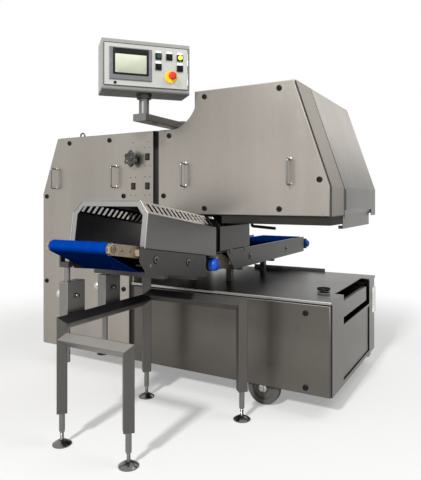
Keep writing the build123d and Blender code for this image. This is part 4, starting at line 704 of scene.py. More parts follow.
class DIVIDER_OT_finishes(bpy.types.Operator):
    """Gives every CAD piece its finish"""

    bl_idname = "divider.finishes"
    bl_label = "Finishes on the CAD pieces"

    def execute(self, context):
        c = context.scene.divider_colours
        self.steels(c, context.scene.divider_fittings)
        FINISHES.update(
            polished=polished_steel("polished_steel", c.polished),
            brass=polished_steel("bearing_brass", c.brass),
            feet=polished_steel("foot_steel", c.feet),
            black=moulded_plastic("black_plastic", c.black, 0.38, shine=0.14),
            grip=moulded_plastic("grip_plastic", c.grip, 0.3, shine=0.5),
            roller=moulded_plastic("roller_plastic", c.roller, 0.36),
            tan=moulded_plastic("bearing_plastic", c.tan, 0.46),
            wheel=moulded_plastic("wheel_plastic", c.wheel, 0.5),
            white=moulded_plastic("food_plastic", c.white, 0.4),
            bezel=moulded_plastic("display_frame", c.bezel, 0.4),
            start=moulded_plastic("start_plastic", c.start, 0.26, 0.4),
            collar=moulded_plastic("collar_plastic", c.collar, 0.34),
            stop=moulded_plastic("stop_plastic", c.stop, 0.36, 0.1),
            # Dark finish of joints and gauge faces, also the painted shade in gaps and louvre openings
            rubber=moulded_plastic("joint_rubber", c.rubber, 0.6),
            belt=belt_cloth("belt_cloth", c.belt),
            # The far belt is the belt at a darker share: painted shade on it
            far_belt=belt_cloth("far_belt_cloth", shade(c.belt, 0.85)),
            motor=satin_paint("motor_paint", c.motor),
            screen=display_glass("display_glass", c.screen),
            signal=lit_plastic("signal_plastic", c.signal, 0.6),
            # The label plates glow a little though they are no lamps: painted light
            label=lit_plastic("label_plate", c.label, 0.3),
        )
        for node, slot in SLOT_OF.items():
            thing = frame["nodes"][node]
            thing.data.materials.clear()
            thing.data.materials.append(FINISHES[OWN_FINISH.get(node, SLOT_FINISH[slot])])
        return {"FINISHED"}

    def steels(self, c, s):
        """Brushed steels; a band of painted light and shade gives two heights and the colour's share at each."""
        keel = corners("head_front_panel")[0][2]
        bench = solid_boxes("stand_rails")[0][1][2]
        case = corners("box_door")[0][2] - s.box_rim_low
        # Painted shade under the head's front panel, and painted light growing up the head's shell
        painted_keel_shade, painted_head_light = (keel - 0.004, keel + 0.004, 0.12, 1.0), (0.86, 1.3, 1.0, 1.6)
        # Painted sheen on the rails up to the bench's top, and painted shade on the rails above it
        painted_bench_sheen = (bench, bench + 0.02, 1.6, 0.62)
        # Painted shade on the control box's underside
        painted_case_shade = (case + 0.001, case + 0.02, 0.2, 1.0)
        # Painted shade towards the top of the head's front panel; painted shade low on the end cover and painted
        # light high on it
        painted_front_shade, painted_cover_light_and_shade = (0.9, 1.48, 1.0, 0.8), (0.95, 1.36, 0.4, 1.4)
        # The fold is the steel at a darker share: painted shade that tones down the highlight on the head panel's
        # folds
        fold, bow = shade(c.steel, 0.85), shade(c.polished, 0.6)
        # Level faces of the sawn tubes take 1.5 times the colour: painted light on their tops
        sawn = ("Z", 0.46, 0.1, 1.5)
        for key, colour, settings, more in (
            ("panel", c.steel, ("Z",), {}),
            ("head", c.steel, ("Z",), {"graze": 0.5, "levels": (painted_keel_shade, painted_head_light)}),
            ("front", c.steel, ("Z",), {"levels": (painted_front_shade,)}),
            ("cover", c.steel, ("Z",), {"levels": (painted_cover_light_and_shade,)}),
            ("fold", fold, ("Z", 0.6), {"relief": 0.0}),
            ("case", c.case_steel, ("X", 0.4, 0.06), {"levels": (painted_case_shade,)}),
            ("box", c.box_steel, ("X", 0.4, 0.06), {}),
            ("arm", c.arm_steel, ("X", 0.36, 0.08), {}),
            # Level faces of the base and the hood take darker shares of the colour: painted shade on them
            ("base", c.shaded_base_steel, ("X", 0.3), {"flat": 0.62}),
            ("hood", c.hood_steel, ("Y", 0.36), {"flat": 0.55}),
            ("guard", c.shaded_guard_steel, ("Y", 0.4, 0.1), {}),
            ("tube", c.tube_steel, sawn, {}),
            ("rail", c.tube_steel, sawn, {"levels": (painted_bench_sheen,)}),
            ("handle", bow, ("Z", 0.3, 0.06), {}),
            ("rim", c.rim, ("X", 0.36), {}),
            ("edge", c.edge, ("X", 0.4), {}),
            ("clamp", c.clamp, ("Z", 0.4, 0.1), {}),
        ):
            FINISHES[key] = brushed_steel(key + "_steel", colour, *settings, **more)


class DIVIDER_OT_locks(bpy.types.Operator):
    """Lock heads of the removable panels, and the same on the rear panels"""

    bl_idname = "divider.locks"
    bl_label = "Panel locks"

    def execute(self, context):
        front, rear = [], []
        swell = context.scene.divider_fittings.lock_swell
        back = corners("rear_panels")[1][1]
        for low, high in solid_boxes("panel_locks"):
            radius, rise = swell * (high[0] - low[0]) / 2, high[1] - low[1]
            x, _, z = (low + high) / 2
            front += self.head(np.array([x, high[1], z]), RIGHT, radius, rise)
            rear += self.head(np.array([x, back, z]), -RIGHT, radius, rise)
        piece("lock_heads", front, "black", replaced="panel_locks")
        piece("rear_lock_heads", rear, "black")
        return {"FINISHED"}

    def head(self, foot, right, radius, rise):
        """A turned rim and a key bar in its sunk middle, as shares of radius and rise."""
        out = np.cross(right, UP)
        bar, form = (0.9 * radius, 0.24 * radius), (0.35 * rise, 0.08 * radius, 0.1 * rise)
        return [
            turned("lock", (radius, rise), foot, out, 28),
            plate(foot + out * 0.6 * rise, right, UP, bar, form),
        ]


class DIVIDER_OT_rear(bpy.types.Operator):
    """Handles on the rear panels, opposite the front ones, and pressed louvres in the closed end"""

    bl_idname = "divider.rear"
    bl_label = "Rear handles and louvres"

    def execute(self, context):
        s = context.scene.divider_fittings
        back = corners("rear_panels")[1][1]
        handles = [self.handle(low, high, back) for low, high in solid_boxes("panel_handles")]
        piece("rear_handles", handles, "handle")
        louvres, slits = [], []
        wall = corners("cabinet_shell")[0][0]
        width, pitch, rise = s.louvre
        for step in range(s.louvre_count):
            middle = np.array([wall, s.louvre_low[0], s.louvre_low[1] + step * pitch])
            louvres.append(self.louvre(middle, width, 0.6 * pitch, rise))
            # A dark plate under each louvre paints the shade of its opening
            opening = (0.86 * width, 0.12 * pitch)
            slits.append(plate(middle - UP * 0.36 * pitch, FRONT, UP, opening, PLATES["slit"]))
        piece("end_louvres", louvres, "panel")
        piece("louvre_slits", slits, "rubber")
        return {"FINISHED"}

    def handle(self, low, high, back):
        """A rod bent to a U: out from the panel, round a quarter circle, up, round again and in."""
        rod = (high[0] - low[0]) / 2
        reach, bend = high[1] - low[1] - rod, 2.5 * rod
        turn = np.linspace(0, np.pi / 2, 8)
        out = reach - bend + bend * np.sin(turn)
        up = low[2] + rod + bend * (1 - np.cos(turn))
        bow = np.stack([0 * turn + low[0] + rod, back + out, up], axis=1)
        lower = np.concatenate([[(low[0] + rod, back, low[2] + rod)], bow])
        upper = lower[::-1] * (1, 1, -1) + (0, 0, low[2] + high[2])
        return tube(np.concatenate([lower, upper]), rod, RIGHT, 12)

    def louvre(self, middle, width, height, rise):
        """A pressed hood: a section that rises to a lip, times 1 - u to the sixth along its run."""
        u = np.linspace(-1, 1, 25)
        section = [(0, 0.5), (0.3, 0.3), (0.75, -0.1), (1, -0.42), (0.92, -0.5), (0, -0.5)]
        section = np.array(section)
        swell = (1 - u ** 6)[None, :]
        out, up = section[:, :1] * swell * rise, section[:, 1:] * swell * height
        along = 0.5 * width * u[None, :] + 0 * out
        return grid(middle + np.stack([-out, along, up], axis=-1), wrap_rows=True)


class DIVIDER_OT_edges(bpy.types.Operator):
    """Folded and sawn edges: copies of the CAD pieces with their long or outer edges rounded"""

    bl_idname = "divider.edges"
    bl_label = "Rounded edges"

    def execute(self, context):
        s = context.scene.divider_fittings
        fold, sawn = s.fold_radius, s.tube_radius
        front, tubes = self.outermost(FRONT), self.longer(1.5 * s.tube_side)
        # Each rounding takes the finish named last; where it differs from the piece's own finish it paints a
        # highlight or shade line, and the base top's front faces take a painted highlight
        for node, *job in (
            ("cabinet_front_panel", fold, front, "edge"),
            ("head_front_panel", fold, front, "fold"),
            ("base_front_panel", fold, front, "guard"),
            ("base_top_plate", fold, front, "rim", FRONT),
            ("box_door", 0.6 * fold, self.outermost(BOX_NORMAL), "rim"),
            ("crumb_drawer", 0.5 * fold, self.outermost(RIGHT), "edge"),
            ("stand_uprights", sawn, tubes, "tube"),
            ("stand_rails", sawn, tubes, "rail"),
            ("cross_rail", sawn, tubes, "rail"),
            ("control_arm", fold, tubes, "arm"),
            ("end_cover", 0.5 * fold, self.longer(4 * s.tube_side), "cover"),
            ("rod_clamps", fold, self.longer(s.tube_side), "edge"),
        ):
            self.soften(node, *job)
        return {"FINISHED"}

    def outermost(self, direction):
        """Picks edges that lie in the piece's farthest plane along a direction."""
        def pick(ends):
            reach = ends @ direction
            return (reach > reach.max() - SAME_PLANE).all(axis=1)
        return pick

    def longer(self, least):
        """Picks edges over a length."""
        return lambda ends: np.linalg.norm(ends[:, 0] - ends[:, 1], axis=1) > least

    def folds(self, mesh):
        """Marks edges whose first and last face are of some size and part by the fold angle."""
        turns, sizes = gather(mesh.polygons, "normal", (-1, 3)), gather(mesh.polygons, "area")
        edge_of = gather(mesh.loops, "edge_index", kind=int)
        face_of = np.repeat(np.arange(len(sizes)), gather(mesh.polygons, "loop_total", kind=int))
        first, last = np.zeros((2, len(mesh.edges)), int)
        first[edge_of], last[edge_of[::-1]] = face_of, face_of[::-1]
        parted = (turns[first] * turns[last]).sum(axis=1) < np.cos(FOLD_ANGLE)
        return parted & (np.minimum(sizes[first], sizes[last]) > FOLD_AREA)

    def soften(self, node, width, pick, rim, facing=None):
        """Rounds the picked folds of a copy of a node; the rounding, and faces that look one way,
        take the rim's finish, which paints a highlight or shade line where it differs from the node's own."""
        mesh = frame["nodes"][node].data.copy()
        work = bmesh.new()
        work.from_mesh(mesh)
        bmesh.ops.remove_doubles(work, verts=work.verts, dist=SAME_POINT)
        bmesh.ops.dissolve_degenerate(work, edges=work.edges, dist=LEAST_SIZE)
        bmesh.ops.dissolve_limit(work, angle_limit=radians(1), verts=work.verts, edges=work.edges)
        work.to_mesh(mesh)
        work.free()
        mesh.shade_smooth()
        mesh.set_sharp_from_angle(angle=FOLD_ANGLE)
        points, ends = mesh_arrays(mesh)
        picked = pick(points[ends]) & self.folds(mesh)
        weight = mesh.attributes.new("bevel_weight_edge", "FLOAT", "EDGE")
        weight.data.foreach_set("value", picked.astype(np.float32))
        mesh.materials.append(FINISHES[rim])
        if facing is not None:
            looks = gather(mesh.polygons, "normal", (-1, 3)) @ facing > FACING
            mesh.polygons.foreach_set("material_index", looks.astype(np.int32))
        thing = add_object(node + "_edges", mesh)
        bevel = thing.modifiers.new("edge", "BEVEL")
        bevel.limit_method = "WEIGHT"
        bevel.width = width
        bevel.segments = 3
        bevel.material = 1
        thing.modifiers.new("even", "WEIGHTED_NORMAL").keep_sharp = True
        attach(thing, BODY_OF[node])
        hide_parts(node)


class DIVIDER_OT_control(bpy.types.Operator):
    """Display bezel and page, label plates, the door's dark line, the stop head and the cuff"""

    bl_idname = "divider.control"
    bl_label = "Control box fittings"

    def execute(self, context):
        s = context.scene.divider_fittings
        face = self.front("display_panel")
        bezel = plate(face + UP * s.bezel_lift, BOX_RIGHT, UP, s.bezel, PLATES["bezel"])
        piece("display_bezel", [bezel], "black", "box_door")
        face = face + BOX_NORMAL * PLATES["bezel"][0]
        page = plate(face, BOX_RIGHT, UP, s.page, PLATES["page"])
        piece("display_page", [page], "screen", "box_door")
        labels = []
        for low, high in solid_boxes("button_holders"):
            lift = (high[2] - low[2]) / 2 + 0.5 * s.label[1]
            back = (low + high) / 2 - BOX_NORMAL * s.holder_depth / 2 + UP * lift
            labels.append(plate(back, BOX_RIGHT, UP, s.label, PLATES["label"]))
        piece("button_labels", labels, "label", "box_door")
        piece("door_seal", [self.seal(s)], "rubber", "control_box")
        head = turned("mushroom", s.mushroom, self.front("stop_collar"), BOX_NORMAL, 40)
        body = BODY_OF["stop_mushroom"]
        piece("stop_head", [head], "stop", body, "stop_mushroom", 50.0)
        foot = np.array(JOINTS["box_swivel"]["pos_m"], float)
        foot[2] = corners("box_door")[0][2] - s.box_rim_low
        cuff = turned("cuff", s.cuff_radius, foot, UP, 40)
        piece("swivel_cuff", [cuff], "base", "control_box")
        return {"FINISHED"}

    def front(self, node):
        """Middle of a node's face that looks along the box's normal."""
        axes = np.array([BOX_RIGHT, UP, BOX_NORMAL])
        along = node_points(node) @ axes.T
        low, high = along.min(axis=0), along.max(axis=0)
        return np.array([(low[0] + high[0]) / 2, (low[1] + high[1]) / 2, high[2]]) @ axes

    def seal(self, s):
        """A flat ring round the door: its outline a near and a far gap wider, lifted a little."""
        points = node_points("box_door")
        width, height = np.ptp(points @ BOX_RIGHT), np.ptp(points[:, 2])
        near, far = s.seal
        rings = []
        for gap, lift in ((near, 0), (near, s.seal_rise), (far, s.seal_rise), (far, 0)):
            x, z = outline(width + 2 * gap, height + 2 * gap, gap)
            rings.append(x[:, None] * BOX_RIGHT + z[:, None] * UP + lift * BOX_NORMAL)
        return grid(self.front("box_door") + np.array(rings), wrap_rows=True, wrap_cols=True)


class DIVIDER_OT_gauges(bpy.types.Operator):
    """Setting windows, small rivets round them and the lobed handwheel"""

    bl_idname = "divider.gauges"
    bl_label = "Handwheel and gauges"

    # Two lone rivets, across and up from the handwheel's axis
    LONE_RIVETS = ((-0.011, 0.087), (0.093, 0.086))

    def execute(self, context):
        s = context.scene.divider_fittings
        faces, rivets = [], []
        wheel = np.array(JOINTS["handwheel_turn"]["pos_m"])
        across, up = s.rivet_from
        for low, high in solid_boxes("setting_gauges"):
            x, _, z = (low + high) / 2
            size = 0.72 * (high[0] - low[0]), 0.74 * (high[2] - low[2])
            faces.append(plate(np.array([x, low[1], z]), RIGHT, UP, size, PLATES["gauge"]))
            rivets += [(x + i * across, high[1], z + k * up) for i in (-1, 1) for k in (-1, 1)]
        rivets += [wheel + RIGHT * x + UP * z for x, z in self.LONE_RIVETS]
        heads = [screw(np.array(spot), FRONT, s.rivet_radius) for spot in rivets]
        piece("gauge_faces", faces, "rubber")
        piece("panel_rivets", heads, "black")
        self.wheel(s, wheel)
        return {"FINISHED"}

    def wheel(self, s, centre):
        """A star grip: rings of radius r (1 - a (1 + cos 6u)), where a grows from the middle to the
        rim, stepping in over a rounded rim to a sunk cap, and a short hub behind."""
        low, high = corners("handwheel")
        radius, depth = s.grip_swell * (high[0] - low[0]) / 2, s.grip_depth
        rings = np.array(SECTIONS["star"])
        u = np.linspace(0, 2 * np.pi, 96, endpoint=False)
        lobe = 0.12 * np.clip(rings[:, :1] - 0.4, 0, 1) / 0.56
        share = rings[:, :1] * (1 + lobe * (-np.cos(6 * u)[None] - 1)) * radius
        back = -rings[:, 1:] * depth + 0 * u
        points = np.stack([share * np.cos(u), back, share * np.sin(u)], axis=-1)
        base = np.array([centre[0], low[1] + depth, centre[2]])
        end = high[1] - base[1]
        hub = [(0, 0), (0.014, 0), (0.016, 0.001), (0.016, end), (0, end)]
        parts = [grid(base + points, wrap_cols=True), lathe(hub, base, BEHIND, 24)]
        piece("star_grip", parts, "grip", "handwheel", "handwheel", 50.0)


class DIVIDER_OT_conveyor(bpy.types.Operator):
    """Plate slots and screws, bearing rings, rollers with caps and dark collars of painted shade, and the hood's
    rim, a painted highlight, and seams, dark lines of painted shadow
    """

    bl_idname = "divider.conveyor"
    bl_label = "Conveyor fittings"

    # Setback and level of the plates' slots and of a small screw
    SLOTS = ((-0.811, 0.7104), (-0.5683, 0.6751), (0.0762, 0.6391), (0.6251, 0.6344))
    SMALL_SCREW = (-0.4825, 0.6659)
    # How far a washer and a screw sit behind the middle of their slot
    WASHER_BACK, SCREW_BACK = 0.0042, 0.003
    # The arms' screws, behind and over the axes of nose and tail roller
    NOSE_SCREWS = ((0.045, -0.0072), (0.095, -0.0152))
    TAIL_SCREW = (0.05, 0.012)
    # A roller cap's dome: shares of its radius, and how far each lies from its end
    DOME = ((0, 0), (0.5, 0.001), (0.8, 0.005), (0.95, 0.012), (1, 0.02))
    CAP_GAP, COLLAR_EDGE, RIM_HALF = 0.0005, 0.002, 0.0004

    def execute(self, context):
        s = context.scene.divider_fittings
        slots, washers, screws, rings = [], [], [], []
        nose = np.array(JOINTS["nose_spin"]["pos_m"])
        tail = np.array(JOINTS["tail_spin"]["pos_m"])
        slot_rise, washer_rise = PLATES["slot"][0], PLATES["washer"][0]
        for side, edge in zip((-1, 1), corners("outfeed_plates")):
            out, along = side * RIGHT, side * BEHIND
            for y, z in self.SLOTS:
                spot = np.array([edge[0], y, z])
                slots.append(plate(spot, along, UP, s.slot, PLATES["slot"]))
                spot = spot + out * slot_rise
                rest = spot + BEHIND * self.WASHER_BACK
                washers.append(plate(rest, along, UP, s.washer, PLATES["washer"]))
                spot = spot + BEHIND * self.SCREW_BACK + out * washer_rise
                slots.append(screw(spot, out, 0.8 * s.screw_radius))
            spot = np.array([edge[0], *self.SMALL_SCREW])
            screws.append(screw(spot, out, 0.5 * s.screw_radius))
            face = nose + out * s.arm_outer
            rings.append(turned("bearing", s.bearing_radius, face, out, 32))
            inner = nose + out * s.belt_half
            rings.append(turned("collar", s.bearing_radius, inner, out, 36))
            spots = [face + (0, *step) for step in self.NOSE_SCREWS]
            spots.append(np.array([face[0], tail[1], tail[2]]) + (0, *self.TAIL_SCREW))
            screws += [screw(spot, out, 0.8 * s.screw_radius) for spot in spots]
        piece("plate_slots", slots, "black")
        piece("plate_washers", washers, "hood")
        piece("conveyor_screws", screws, "feet")
        piece("bearing_rings", rings, "brass")
        self.rim(s, nose[0])
        collars = self.roller(s, "tail_roller", s.tail_roller, s.collars[0])
        collars += self.roller(s, "far_roller", s.far_roller, s.collars[1])
        # The collars are black: painted shade at the rollers' ends
        piece("roller_collars", collars, "black")
        return {"FINISHED"}

    def roller(self, s, node, radii, neck):
        """A roller with domed caps outside its arms, turned from one profile and its mirror image;
        gives the collars on the arms, which are a neck wide."""
        body, cap, width = radii
        low, high = corners(node)
        middle, half = (low + high) / 2, (high[0] - low[0]) / 2
        axle, foot = s.axle_radius, s.arm_outer + neck + self.CAP_GAP
        end = [(share * cap, half - drop) for share, drop in self.DOME]
        end += [(cap, foot), (axle, foot), (axle, s.belt_half), (body, s.belt_half)]
        profile = end + [(r, -h) for r, h in end[::-1]]
        shape = lathe(profile, middle, RIGHT, 48)
        piece(node + "_turned", [shape], "roller", BODY_OF[node], node)
        bore, edge = 1.2 * axle, self.COLLAR_EDGE
        section = [(bore, 0), (width, 0), (width, neck - edge), (width - edge, neck), (bore, neck)]
        section.append(section[0])
        outs = (-RIGHT, RIGHT)
        return [lathe(section, middle + out * s.arm_outer, out, 40) for out in outs]

    def rim(self, s, middle_x):
        """The hood's slanted front rim with a round bead, both in the lighter rim finish as a painted highlight,
        and dark seams along its lower edges that paint the shadow at the hood's step.
        """
        low, high = corners("hood")
        half, slope = (high[0] - low[0]) / 2, s.belt_slope
        height = high[2] - low[2] - slope * (high[1] - low[1])
        foot = np.array([middle_x, low[1], high[2] - height])
        side = np.array([(-half, 0), (-half, height - s.chamfer[1]), (s.chamfer[0] - half, height)])
        path = np.concatenate([side, side[::-1] * (-1, 1)])
        lean = np.array([RIGHT, UP + slope * BEHIND])
        normal = unit(slope * UP - BEHIND)
        face = self.rim_face(path, s.rim_width, foot, lean, normal)
        # The rim's face and bead take the lighter rim finish: a painted highlight on the hood's front
        piece("hood_rim_face", [face], "rim")
        dense = np.linspace(0, len(path) - 1, 161)
        bead = np.stack([np.interp(dense, np.arange(len(path)), row) for row in path.T], axis=1)
        bead = tube(foot + bead @ lean, s.rim_bead, normal, 12)
        piece("hood_rim_bead", [bead], "rim")
        run = corners("outfeed_plates")[1][1] - low[1]
        # Dark lines along the hood's lower edges: painted shadow at its step onto the plates
        seams = []
        for x in (-half, half):
            start = foot + RIGHT * x
            ends = np.array([start, start + run * BEHIND - slope * run * UP])
            seams.append(tube(ends, s.seam_shadow_radius, UP, 8))
        piece("hood_seams", seams, "black")

    def rim_face(self, path, width, foot, lean, normal):
        """The rim's front face: its outline and the same outline moved in by its width, with mitred
        corners, as a thin shell that closes at its ends."""
        along = unit(np.diff(path, axis=0))
        inward = np.stack([along[:, 1], -along[:, 0]], axis=1)
        before = np.concatenate([inward[:1], inward])
        after = np.concatenate([inward, inward[-1:]])
        mitre = (before + after) / (1 + (before * after).sum(axis=1))[:, None]
        points = foot + np.stack([path, path + width * mitre]) @ lean
        rise = self.RIM_HALF * normal
        section = np.concatenate([points + rise, points[::-1] - rise])
        middle = section.mean(axis=0, keepdims=True).repeat(len(section), 0)
        rows = np.concatenate([middle[:, :1], section, middle[:, -1:]], axis=1)
        return grid(rows, wrap_rows=True)


class DIVIDER_OT_stand(bpy.types.Operator):
    """Screw threads and lock nuts on the feet, and ball knobs and bolts on the rod clamps"""

    bl_idname = "divider.stand"
    bl_label = "Stand fittings"

    def execute(self, context):
        s = context.scene.divider_fittings
        threads, nuts, balls, bolts = [], [], [], []
        bench = corners("stand_rails")[0][1]
        for low, high in solid_boxes("levelling_feet"):
            foot = (low + high) / 2 * (1, 1, 0)
            if foot[1] < bench + 1.0:
                threads.append(self.thread(s, foot))
                nut = foot + UP * (s.stem[1] - 0.6 * s.nut_radius)
                nuts.append(turned("nut", s.nut_radius, nut, UP, 6))
        piece("foot_threads", threads, "feet")
        piece("foot_nuts", nuts, "feet", crease=20.0)
        turn = np.linspace(0, 0.86 * np.pi, 15)
        ball = np.stack([np.sin(turn), 1 - np.cos(turn)], axis=1)
        ball = np.append(ball, [(0.42, 2.4), (0, 2.4)], axis=0) * s.ball_radius
        for low, high in solid_boxes("rod_clamps"):
            bolt = np.array([low[0], (low[1] + high[1]) / 2, high[2] - s.bolt_drop])
            balls.append(lathe(ball, bolt - RIGHT * 2 * s.ball_radius, RIGHT, 36))
            bolt[0] = high[0]
            bolts.append(screw(bolt, RIGHT, 1.3 * s.screw_radius))
        piece("clamp_balls", balls, "box")
        piece("clamp_bolts", bolts, "feet")
        return {"FINISHED"}

    def thread(self, s, foot):
        """A helix up the stem: radius r about the stem's axis, rising one pitch in each turn."""
        low, high, radius = s.stem
        turns = (high - low) / s.thread_pitch
        t = np.linspace(0, turns, int(turns * 20))
        x, y = radius * np.cos(2 * np.pi * t), radius * np.sin(2 * np.pi * t)
        path = foot + np.stack([x, y, low + s.thread_pitch * t], axis=1)
        return tube(path, 0.3 * s.thread_pitch, UP, 6)


class DIVIDER_OT_trim(bpy.types.Operator):
    """Joint lines, handle discs, wheel caps, lifting eye, drain ring, buffer and pull rod"""

    bl_idname = "divider.trim"
    bl_label = "Trim"

    # The pull rod's bends under the head, and the buffer's place from the back and its level
    PULL_ROD = ((0.42, 0.822), (0.424, 0.8185), (0.43, 0.8178), (0.546, 0.81))
    PULL_ROD_Y = -0.15
    BUFFER_PLACE = (0.03, 0.381)
    # A lone screw, from the head panel's right and lower edges
    CORNER_SCREW = (0.03, 0.012)

    def execute(self, context):
        s = context.scene.divider_fittings
        self.joints(s)
        self.handles(s)
        for wheel, out, face in (("front_wheel", FRONT, 0), ("rear_wheel", BEHIND, 1)):
            box = corners(wheel)
            hub = (box[0] + box[1]) / 2
            hub[1] = box[face][1]
            cap = turned("cap", s.wheel_cap, hub, out, 32)
            piece(wheel + "_cap", [cap], "polished", wheel)
        top, front = corners("base_top_plate")[1], corners("head_front_panel")[0][1]
        drain = np.array([top[0] - s.drain_from[0], front + s.drain_from[1], top[2]])
        ring = turned("grommet", s.drain_radius, drain, UP, 48)
        piece("drain_ring", [ring], "black")
        end = corners("base_frame")[1]
        spot = np.array([end[0], end[1] - self.BUFFER_PLACE[0], self.BUFFER_PLACE[1]])
        buffer = plate(spot, BEHIND, UP, s.buffer, PLATES["buffer"])
        piece("corner_buffer", [buffer], "white")
        self.eye(s)
        bends = [(self.PULL_ROD[0][0], corners("head_shell")[0][2]), *self.PULL_ROD]
        rod = tube([(x, self.PULL_ROD_Y, z) for x, z in bends], s.pull_radius, BEHIND, 12)
        piece("pull_rod", [rod], "black")
        return {"FINISHED"}

    def joints(self, s):
        """Dark strips that fill the gaps between panels as painted shade, dark lines round the panels,
        and the plate that closes the cover grip."""
        cabinet, head = corners("cabinet_front_panel")[1], corners("head_front_panel")[0]
        base_low, base_high = corners("base_front_panel")
        face = corners("head_shell")[0][1]
        # A dark sheet in each wide gap: painted shade in the gap
        strips = [
            self.strip(cabinet[0], head[0], face, head[2], cabinet[2]),
            self.strip(base_low[0] - s.panel_gap, base_low[0], face, base_low[2], base_high[2]),
        ]
        piece("joint_strips", strips, "rubber")
        panels = ("cabinet_front_panel", "head_front_panel", "base_front_panel")
        lines = [self.joint(node, s) for node in panels]
        lines.append(self.cover_joint(s))
        piece("panel_joints", lines, "rubber")
        low = corners("cover_grip")[0]
        middle = low + (s.grip_end[0] / 2, 0, s.grip_end[1] / 2)
        closed_end = plate(middle, RIGHT, UP, s.grip_end, PLATES["grip_end"])
        piece("grip_end", [closed_end], "guard", "end_cover")

    def handles(self, s):
        """Discs under the handles' feet, and a lone screw in the head panel's lower corner."""
        discs = []
        for low, high in solid_boxes("panel_handles"):
            rod = (high[0] - low[0]) / 2
            for z in (low[2] + rod, high[2] - rod):
                foot = np.array([low[0] + rod, high[1], z])
                discs.append(turned("disc", s.rosette, foot, FRONT, 24))
        low, high = corners("head_front_panel")
        spot = np.array([high[0] - self.CORNER_SCREW[0], low[1], low[2] + self.CORNER_SCREW[1]])
        discs.append(screw(spot, FRONT, 0.7 * s.screw_radius))
        piece("handle_discs", discs, "panel")

    def eye(self, s):
        """The lifting eye: a round rod on a circle over a turned foot."""
        low, high = corners("lifting_eye")
        foot = np.array([(low[0] + high[0]) / 2, (low[1] + high[1]) / 2, low[2]])
        turn = np.linspace(0, 2 * np.pi, 48, endpoint=False)
        loop = np.stack([np.cos(turn), 0 * turn, np.sin(turn) + 0.75], axis=1) * s.eye_radius
        eye = tube(foot + loop, 0.3 * s.eye_radius, BEHIND, 12, closed=True)
        collar = turned("eye_foot", s.eye_radius, foot, UP, 32)
        piece("eye_ring", [eye, collar], "tube", replaced="lifting_eye")

    def joint(self, node, s):
        """A flat dark line round a panel's back: its outer corners, which front and back share, in
        order of their angle about a point two thirds of the way to its high corner."""
        points = np.unique(np.round(node_points(node), 5), axis=0)
        low, high = points.min(axis=0), points.max(axis=0)
        front = points[points[:, 1] < low[1] + SAME_PLANE]
        back = points[points[:, 1] > high[1] - SAME_PLANE]
        apart = np.abs(back[:, None, ::2] - front[None, :, ::2]).max(axis=2).min(axis=1)
        back = back[apart < SAME_PLANE]
        from_within = back - (low + 2 * high) / 3
        back = back[np.argsort(np.arctan2(from_within[:, 2], from_within[:, 0]))]
        back = np.concatenate([back, back[:1]]) - BEHIND * s.joint[1]
        return self.line(back, *s.joint, True)

    def cover_joint(self, s):
        """A flat dark line on the head beside the end cover's front edge: its outer corners from
        top to bottom."""
        points = node_points("end_cover")
        front = points[points[:, 1] < points[:, 1].min() + SAME_PLANE]
        high, far = (front[:, k] > front[:, k].max() - SAME_PLANE for k in (2, 0))
        order = [np.unique(front[high], axis=0), np.unique(front[far], axis=0)[::-1]]
        bends = np.concatenate(order) - BEHIND * s.cover_line
        return self.line(bends, s.joint[1], 0.9 * s.cover_line, False)

    def line(self, bends, out, back, closed):
        """A flat ribbon along straight runs between bends: a tube squashed to its reach outwards
        and to the back."""
        count = len(bends)
        share = np.linspace(0, count - 1, 60 * count, endpoint=not closed)
        path = np.stack([np.interp(share, np.arange(count), row) for row in bends.T], axis=1)
        return tube(path, out, BEHIND, 8, closed, back / out)

    def strip(self, left, right, face, low, high):
        """A flat strip over a gap between two sides and two levels, standing in for the gap's shade."""
        centre = np.array([(left + right) / 2, face, (low + high) / 2])
        return plate(centre, RIGHT, UP, (right - left, high - low), PLATES["strip"])


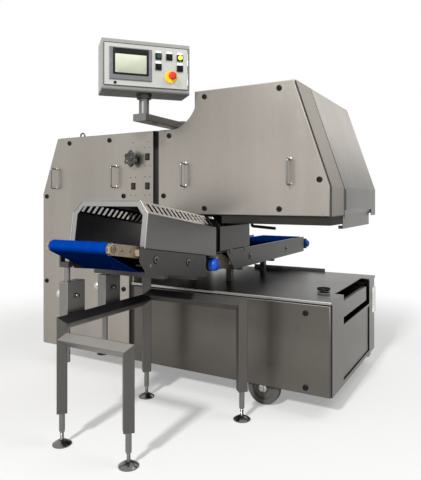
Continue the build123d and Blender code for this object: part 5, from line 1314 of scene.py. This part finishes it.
class DIVIDER_OT_stage(bpy.types.Operator):
    """Pale floor, soft studio light and the camera"""

    bl_idname = "divider.stage"
    bl_label = "Studio"

    # Half the floor's side, its drop under the feet, and where its fade to white starts and ends
    FLOOR_HALF, FLOOR_DROP, FLOOR_FADE = 40, 0.0004, (1.3, 3.0)
    # Place, aim and side of the lamps
    KEY_LAMP = ((0.75, -8.6, 6.0), (0.1, 0.0, 0.6), 0.8)
    FILL_LAMP = ((3.0, 0.2, 4.2), (0.5, 0.1, 1.1), 2.4)

    def execute(self, context):
        scene, s = context.scene, context.scene.divider_stage
        scene.view_settings.view_transform = "Standard"
        self.floor(s)
        self.sky(s)
        self.lamp("key_lamp", s.key_watts, *self.KEY_LAMP)
        self.lamp("fill_lamp", s.fill_watts, *self.FILL_LAMP)
        view = bpy.data.cameras.new("photo_camera")
        view.sensor_width = 36.0
        view.lens = s.lens
        view.shift_y = s.camera_shift
        view.clip_end = 200.0
        scene.camera = add_object("photo_camera", view)
        scene.camera.location = s.camera_place
        scene.camera.rotation_euler = (radians(90), 0, s.camera_turn)
        return {"FINISHED"}

    def floor(self, s):
        """A level square grid of points; its finish fades to white away from the machine."""
        span = np.linspace(-self.FLOOR_HALF, self.FLOOR_HALF, 9)
        x, y = np.meshgrid(span, span, indexing="ij")
        points, faces = grid(np.stack([x, y, 0 * x - self.FLOOR_DROP], axis=-1))
        mesh = bpy.data.meshes.new("floor")
        mesh.from_pydata(points.tolist(), [], faces[:, ::-1].tolist())
        f = Finish("floor_paint")
        mesh.materials.append(
            f.set(Base_Color=f.tints(f.noise(0.8, 2.0), s.floor, 0.985, 1.0), Roughness=0.7)
        )
        away = f.add("ShaderNodeVectorMath", {"operation": "LENGTH"}, {0: f.place}, "Value")
        far = away.fade(*self.FLOOR_FADE)
        glow = f.add("ShaderNodeEmission", None, {"Color": (1, 1, 1), "Strength": 1.0})
        camera_rays, other_rays = f.rays()
        seen = camera_rays * (s.floor_white + (1 - s.floor_white) * far) + other_rays * far
        f.surface(seen, Field(f, f.shader.outputs[0]), glow, "Material Output")
        ground_object = add_object("floor", mesh)

    def sky(self, s):
        """Even pale light all round; the camera, metal and glass see plain white."""
        world = bpy.data.worlds.new("studio")
        bpy.context.scene.world = world
        world.use_nodes = True
        n = Nodes(world.node_tree)
        pale = {"Color": (1.0, 0.99, 0.975), "Strength": s.sky}
        white = {"Color": (1, 1, 1), "Strength": 1.0}
        pale, white = (n.add("ShaderNodeBackground", None, inputs) for inputs in (pale, white))
        camera_rays, other_rays = n.rays()
        n.surface(camera_rays + other_rays, pale, white, "World Output")

    def lamp(self, name, watts, place, aim, size):
        """A square area lamp at a place, turned to look at its aim."""
        light = bpy.data.lights.new(name, "AREA")
        light.energy = watts
        light.size = size
        lamp = add_object(name, light)
        lamp.location = place
        x, y, z = np.array(aim) - place
        tilt = np.pi / 2 - np.arctan2(-z, np.hypot(x, y))
        lamp.rotation_euler = (tilt, 0, np.arctan2(y, x) - np.pi / 2)


OPERATORS = [
    DIVIDER_OT_finishes, DIVIDER_OT_locks, DIVIDER_OT_rear, DIVIDER_OT_edges, DIVIDER_OT_control,
    DIVIDER_OT_gauges, DIVIDER_OT_conveyor, DIVIDER_OT_stand, DIVIDER_OT_trim, DIVIDER_OT_stage,
]


class DIVIDER_PT_panel(bpy.types.Panel):
    """The divider's settings and steps."""

    bl_idname = "DIVIDER_PT_panel"
    bl_label = "Dough divider"
    bl_space_type = "VIEW_3D"
    bl_region_type = "UI"
    bl_category = "Divider"

    def draw(self, context):
        for group, kind in GROUPS.items():
            settings = getattr(context.scene, group)
            box = self.layout.box()
            for key in kind.__annotations__:
                box.prop(settings, key)
        for step in OPERATORS:
            self.layout.operator(step.bl_idname)


def register():
    """Registers the classes and hangs the settings on the scene."""
    for kind in [*GROUPS.values(), *OPERATORS, DIVIDER_PT_panel]:
        bpy.utils.register_class(kind)
    for group, kind in GROUPS.items():
        setattr(bpy.types.Scene, group, bpy.props.PointerProperty(type=kind))


def unregister():
    """Takes away what register added, in reverse."""
    for group in GROUPS:
        delattr(bpy.types.Scene, group)
    for kind in reversed([*GROUPS.values(), *OPERATORS, DIVIDER_PT_panel]):
        bpy.utils.unregister_class(kind)


def main():
    """Runs every step in order."""
    register()
    for step in OPERATORS:
        area, name = step.bl_idname.split(".")
        getattr(getattr(bpy.ops, area), name)()


if __name__ == "__main__":
    main()
